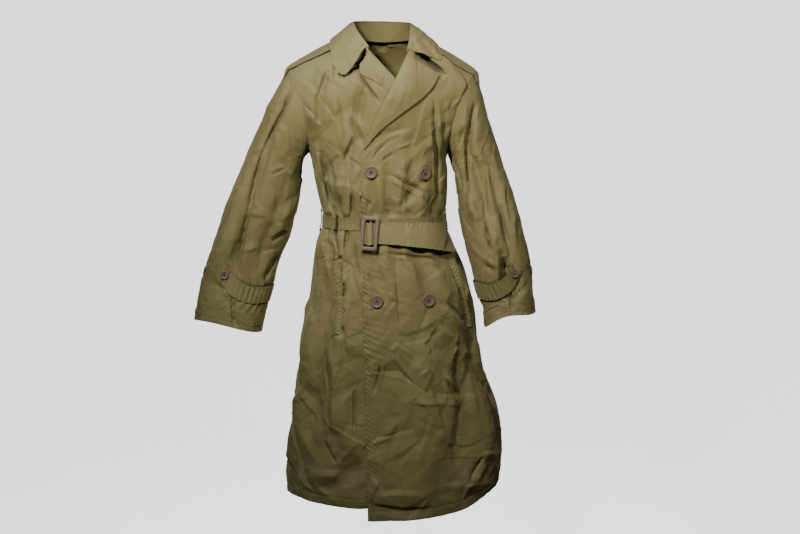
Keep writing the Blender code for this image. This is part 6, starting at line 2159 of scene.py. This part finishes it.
def cloth_material(name, fabric):
    """Woven cloth: slow changes of tone, a fine weave and small crinkles."""
    made, nodes, links = new_material(name)
    shader = nodes["Principled BSDF"]
    coords = nodes.new("ShaderNodeTexCoord")
    slow = noise(nodes, links, coords.outputs["Object"], 5.0, 4.0)
    fine = noise(nodes, links, coords.outputs["Object"], 420.0, 2.0)
    tone = math_node(nodes, links, "MULTIPLY_ADD", fine, 0.25)
    links.new(slow, tone.node.inputs[2])
    tone = math_node(nodes, links, "SUBTRACT", tone, 0.125)
    colour = ramp(nodes, links, tone, ((0.30, fabric.dark), (0.5, fabric.middle), (0.70, fabric.light)))
    links.new(colour, shader.inputs["Base Color"])
    gloss = nodes.new("ShaderNodeMapRange")
    gloss.inputs["To Min"].default_value = fabric.roughness - ROUGHNESS_RANGE
    gloss.inputs["To Max"].default_value = fabric.roughness + ROUGHNESS_RANGE
    links.new(slow, gloss.inputs["Value"])
    links.new(gloss.outputs["Result"], shader.inputs["Roughness"])
    shader.inputs["Specular IOR Level"].default_value = fabric.gloss_level
    shader.inputs["Specular Tint"].default_value = (0.96, 0.94, 0.86, 1.0)
    shader.inputs["Sheen Weight"].default_value = 0.03
    shader.inputs["Sheen Roughness"].default_value = 0.4
    threads = []
    for direction in ("X", "Y"):
        wave = nodes.new("ShaderNodeTexWave")
        wave.wave_type = "BANDS"
        wave.bands_direction = direction
        wave.inputs["Scale"].default_value = fabric.weave
        wave.inputs["Distortion"].default_value = 0.4
        links.new(coords.outputs["UV"], wave.inputs["Vector"])
        threads.append(wave.outputs["Fac"])
    woven = math_node(nodes, links, "MULTIPLY", *threads)
    crinkle = noise(nodes, links, coords.outputs["Object"], 120.0, 3.0, 0.6)
    ripple = noise(nodes, links, coords.outputs["Object"], 45.0, 3.0, 0.5)
    normal = bump(nodes, links, ripple, 0.10, 0.0012)
    normal = bump(nodes, links, crinkle, 0.14, 0.0006, normal)
    normal = bump(nodes, links, woven, 0.15, 0.0002, normal)
    links.new(normal, shader.inputs["Normal"])
    return made


def plastic_material(name, dark, light):
    """Moulded plastic with a faint mottle and fine scuffs."""
    made, nodes, links = new_material(name)
    shader = nodes["Principled BSDF"]
    coords = nodes.new("ShaderNodeTexCoord")
    mottle = noise(nodes, links, coords.outputs["Object"], 160.0, 4.0, 0.6)
    links.new(ramp(nodes, links, mottle, ((0.30, dark), (0.70, light))), shader.inputs["Base Color"])
    scuff = noise(nodes, links, coords.outputs["Object"], 700.0, 2.0)
    gloss = nodes.new("ShaderNodeMapRange")
    gloss.inputs["To Min"].default_value = 0.40
    gloss.inputs["To Max"].default_value = 0.56
    links.new(scuff, gloss.inputs["Value"])
    links.new(gloss.outputs["Result"], shader.inputs["Roughness"])
    shader.inputs["Specular IOR Level"].default_value = 0.32
    links.new(bump(nodes, links, scuff, 0.10, 0.0001), shader.inputs["Normal"])
    return made


def floor_material():
    made, nodes, links = new_material("pale_floor")
    shader = nodes["Principled BSDF"]
    coords = nodes.new("ShaderNodeTexCoord")
    mottle = noise(nodes, links, coords.outputs["Object"], 3.0, 4.0)
    colour = ramp(nodes, links, mottle, ((0.3, (0.30, 0.30, 0.30)), (0.7, (0.32, 0.32, 0.32))))
    links.new(colour, shader.inputs["Base Color"])
    shader.inputs["Roughness"].default_value = 0.8
    shader.inputs["Specular IOR Level"].default_value = 0.0
    shader.inputs["Emission Color"].default_value = (1.0, 1.0, 1.01, 1.0)
    shader.inputs["Emission Strength"].default_value = BACKDROP
    return made


# Floor, light and camera


def make_floor():
    mesh = bpy.data.meshes.new("floor")
    corners = [(-1, -1), (1, -1), (1, 1), (-1, 1)]
    places = [(x * FLOOR_HALF, y * FLOOR_HALF, FLOOR_Z) for x, y in corners]
    mesh.from_pydata(places, [], [(0, 1, 2, 3)])
    mesh.materials.append(floor_material())
    floor = linked("floor", mesh)
    floor.visible_diffuse = False
    floor.visible_glossy = False


def make_light(name, lamp):
    """A round lamp that gives the cloth either its light or its gloss."""
    light = bpy.data.lights.new(name, "AREA")
    light.shape = "DISK"
    light.size = lamp.size
    light.energy = lamp.power
    light.spread = math.radians(lamp.spread)
    obj = linked(name, light)
    obj.location = lamp.place
    look = mathutils.Vector(lamp.aim) - mathutils.Vector(lamp.place)
    obj.rotation_euler = look.to_track_quat("-Z", "Y").to_euler()
    obj.visible_camera = False
    obj.visible_diffuse = not lamp.gloss_only
    obj.visible_glossy = lamp.gloss_only


def make_world():
    """Dim even light all round, with a brighter plain background behind the object."""
    world = bpy.data.worlds.new("studio")
    world.use_nodes = True
    nodes, links = world.node_tree.nodes, world.node_tree.links
    nodes["Background"].inputs["Color"].default_value = (*(FILL * tint for tint in FILL_TINT), 1.0)
    seen = nodes.new("ShaderNodeBackground")
    seen.inputs["Color"].default_value = (BACKDROP, BACKDROP, BACKDROP * 1.01, 1.0)
    path = nodes.new("ShaderNodeLightPath")
    blend = nodes.new("ShaderNodeMixShader")
    links.new(path.outputs["Is Camera Ray"], blend.inputs["Fac"])
    links.new(nodes["Background"].outputs["Background"], blend.inputs[1])
    links.new(seen.outputs["Background"], blend.inputs[2])
    links.new(blend.outputs["Shader"], nodes["World Output"].inputs["Surface"])
    bpy.context.scene.world = world


def make_camera():
    lens = bpy.data.cameras.new("camera")
    lens.lens = LENS
    lens.sensor_width = SENSOR
    camera = linked("camera", lens)
    camera.location = CAMERA_PLACE
    camera.rotation_euler = (math.radians(90.0 - CAMERA_TILT), 0.0, 0.0)
    bpy.context.scene.camera = camera


# Build

olive = cloth_material("olive_nylon", OLIVE)
olive_dark = cloth_material("dark_tape", TAPE)
thread = cloth_material("olive_thread", THREAD)
horn = plastic_material("taupe_plastic", HORN_DARK, HORN_LIGHT)
make_camera()

# What lies on the fronts, back and sleeves
cloth = {"collar_fall": make_fall(), "collar_stand": make_stand()}
cloth["lapel_left"] = make_lapel("lapel_left", 1.0, LAPEL_LEFT)
cloth["lapel_right"] = make_lapel("lapel_right", -1.0, LAPEL_RIGHT)
cloth["belt_waist"] = make_belt()
cloth["belt_tail"] = make_tail()
buckle = make_buckle()
for node, band in BANDS.items():
    cloth[node] = make_band(node, band)
for node, welt in WELTS.items():
    cloth[node] = make_welt(node, welt)
for hand, form in SLEEVES.items():
    node = f"cuff_strap_{hand}"
    cloth[node] = make_cuff_strap(node, form)
buttons = make_buttons()

# The fronts, back and sleeves, tucked in under it
fall, lapel_left, lapel_right = cloth["collar_fall"], cloth["lapel_left"], cloth["lapel_right"]
belt, loops = cloth["belt_waist"], [cloth["belt_loop_left"], cloth["belt_loop_right"]]
on_belt = [belt, cloth["belt_tail"], buckle, cloth["belt_keeper"], *loops]
front_buttons = [buttons[f"button_front_{number}"] for number in (1, 2, 3, 4)]
on_left = [fall, lapel_left, cloth["pocket_welt_left"], *on_belt, *front_buttons]
front_left = make_panel("front_left", shape_front(1.0), FORWARD, on_left)
on_right = [fall, lapel_right, cloth["pocket_welt_right"], *on_belt]
front_right = make_panel("front_right", shape_front(-1.0), FORWARD, on_right, [front_left, lapel_left])
back = make_panel("back", shape_back(), BACKWARD, [fall, belt, *loops])
cloth.update(front_left=front_left, front_right=front_right, back=back)
for hand, form in SLEEVES.items():
    node = f"sleeve_{hand}"
    cuff_buttons = [buttons[f"button_cuff_{hand}_{number}"] for number in (1, 2)]
    on_cuff = [cloth[f"cuff_strap_{hand}"], *cuff_buttons]
    cloth[node] = make_panel(node, shape_sleeve(form), None, on_cuff, closed=True)

# The shoulder loops, on top of them
shoulders = cover(front_left, front_right, back, cloth["sleeve_left"], cloth["sleeve_right"])
for node, side in (("shoulder_loop_left", 1.0), ("shoulder_loop_right", -1.0)):
    cloth[node] = make_shoulder_loop(node, side, shoulders)

for node, seams in SEAMS.items():
    lines = [seam_line(cloth[node], seam) for seam in seams]
    make_stitches(f"{node}_stitches", lines)

make_floor()
make_world()
for name, lamp in LAMPS.items():
    make_light(name, lamp)

bpy.context.view_layer.update()
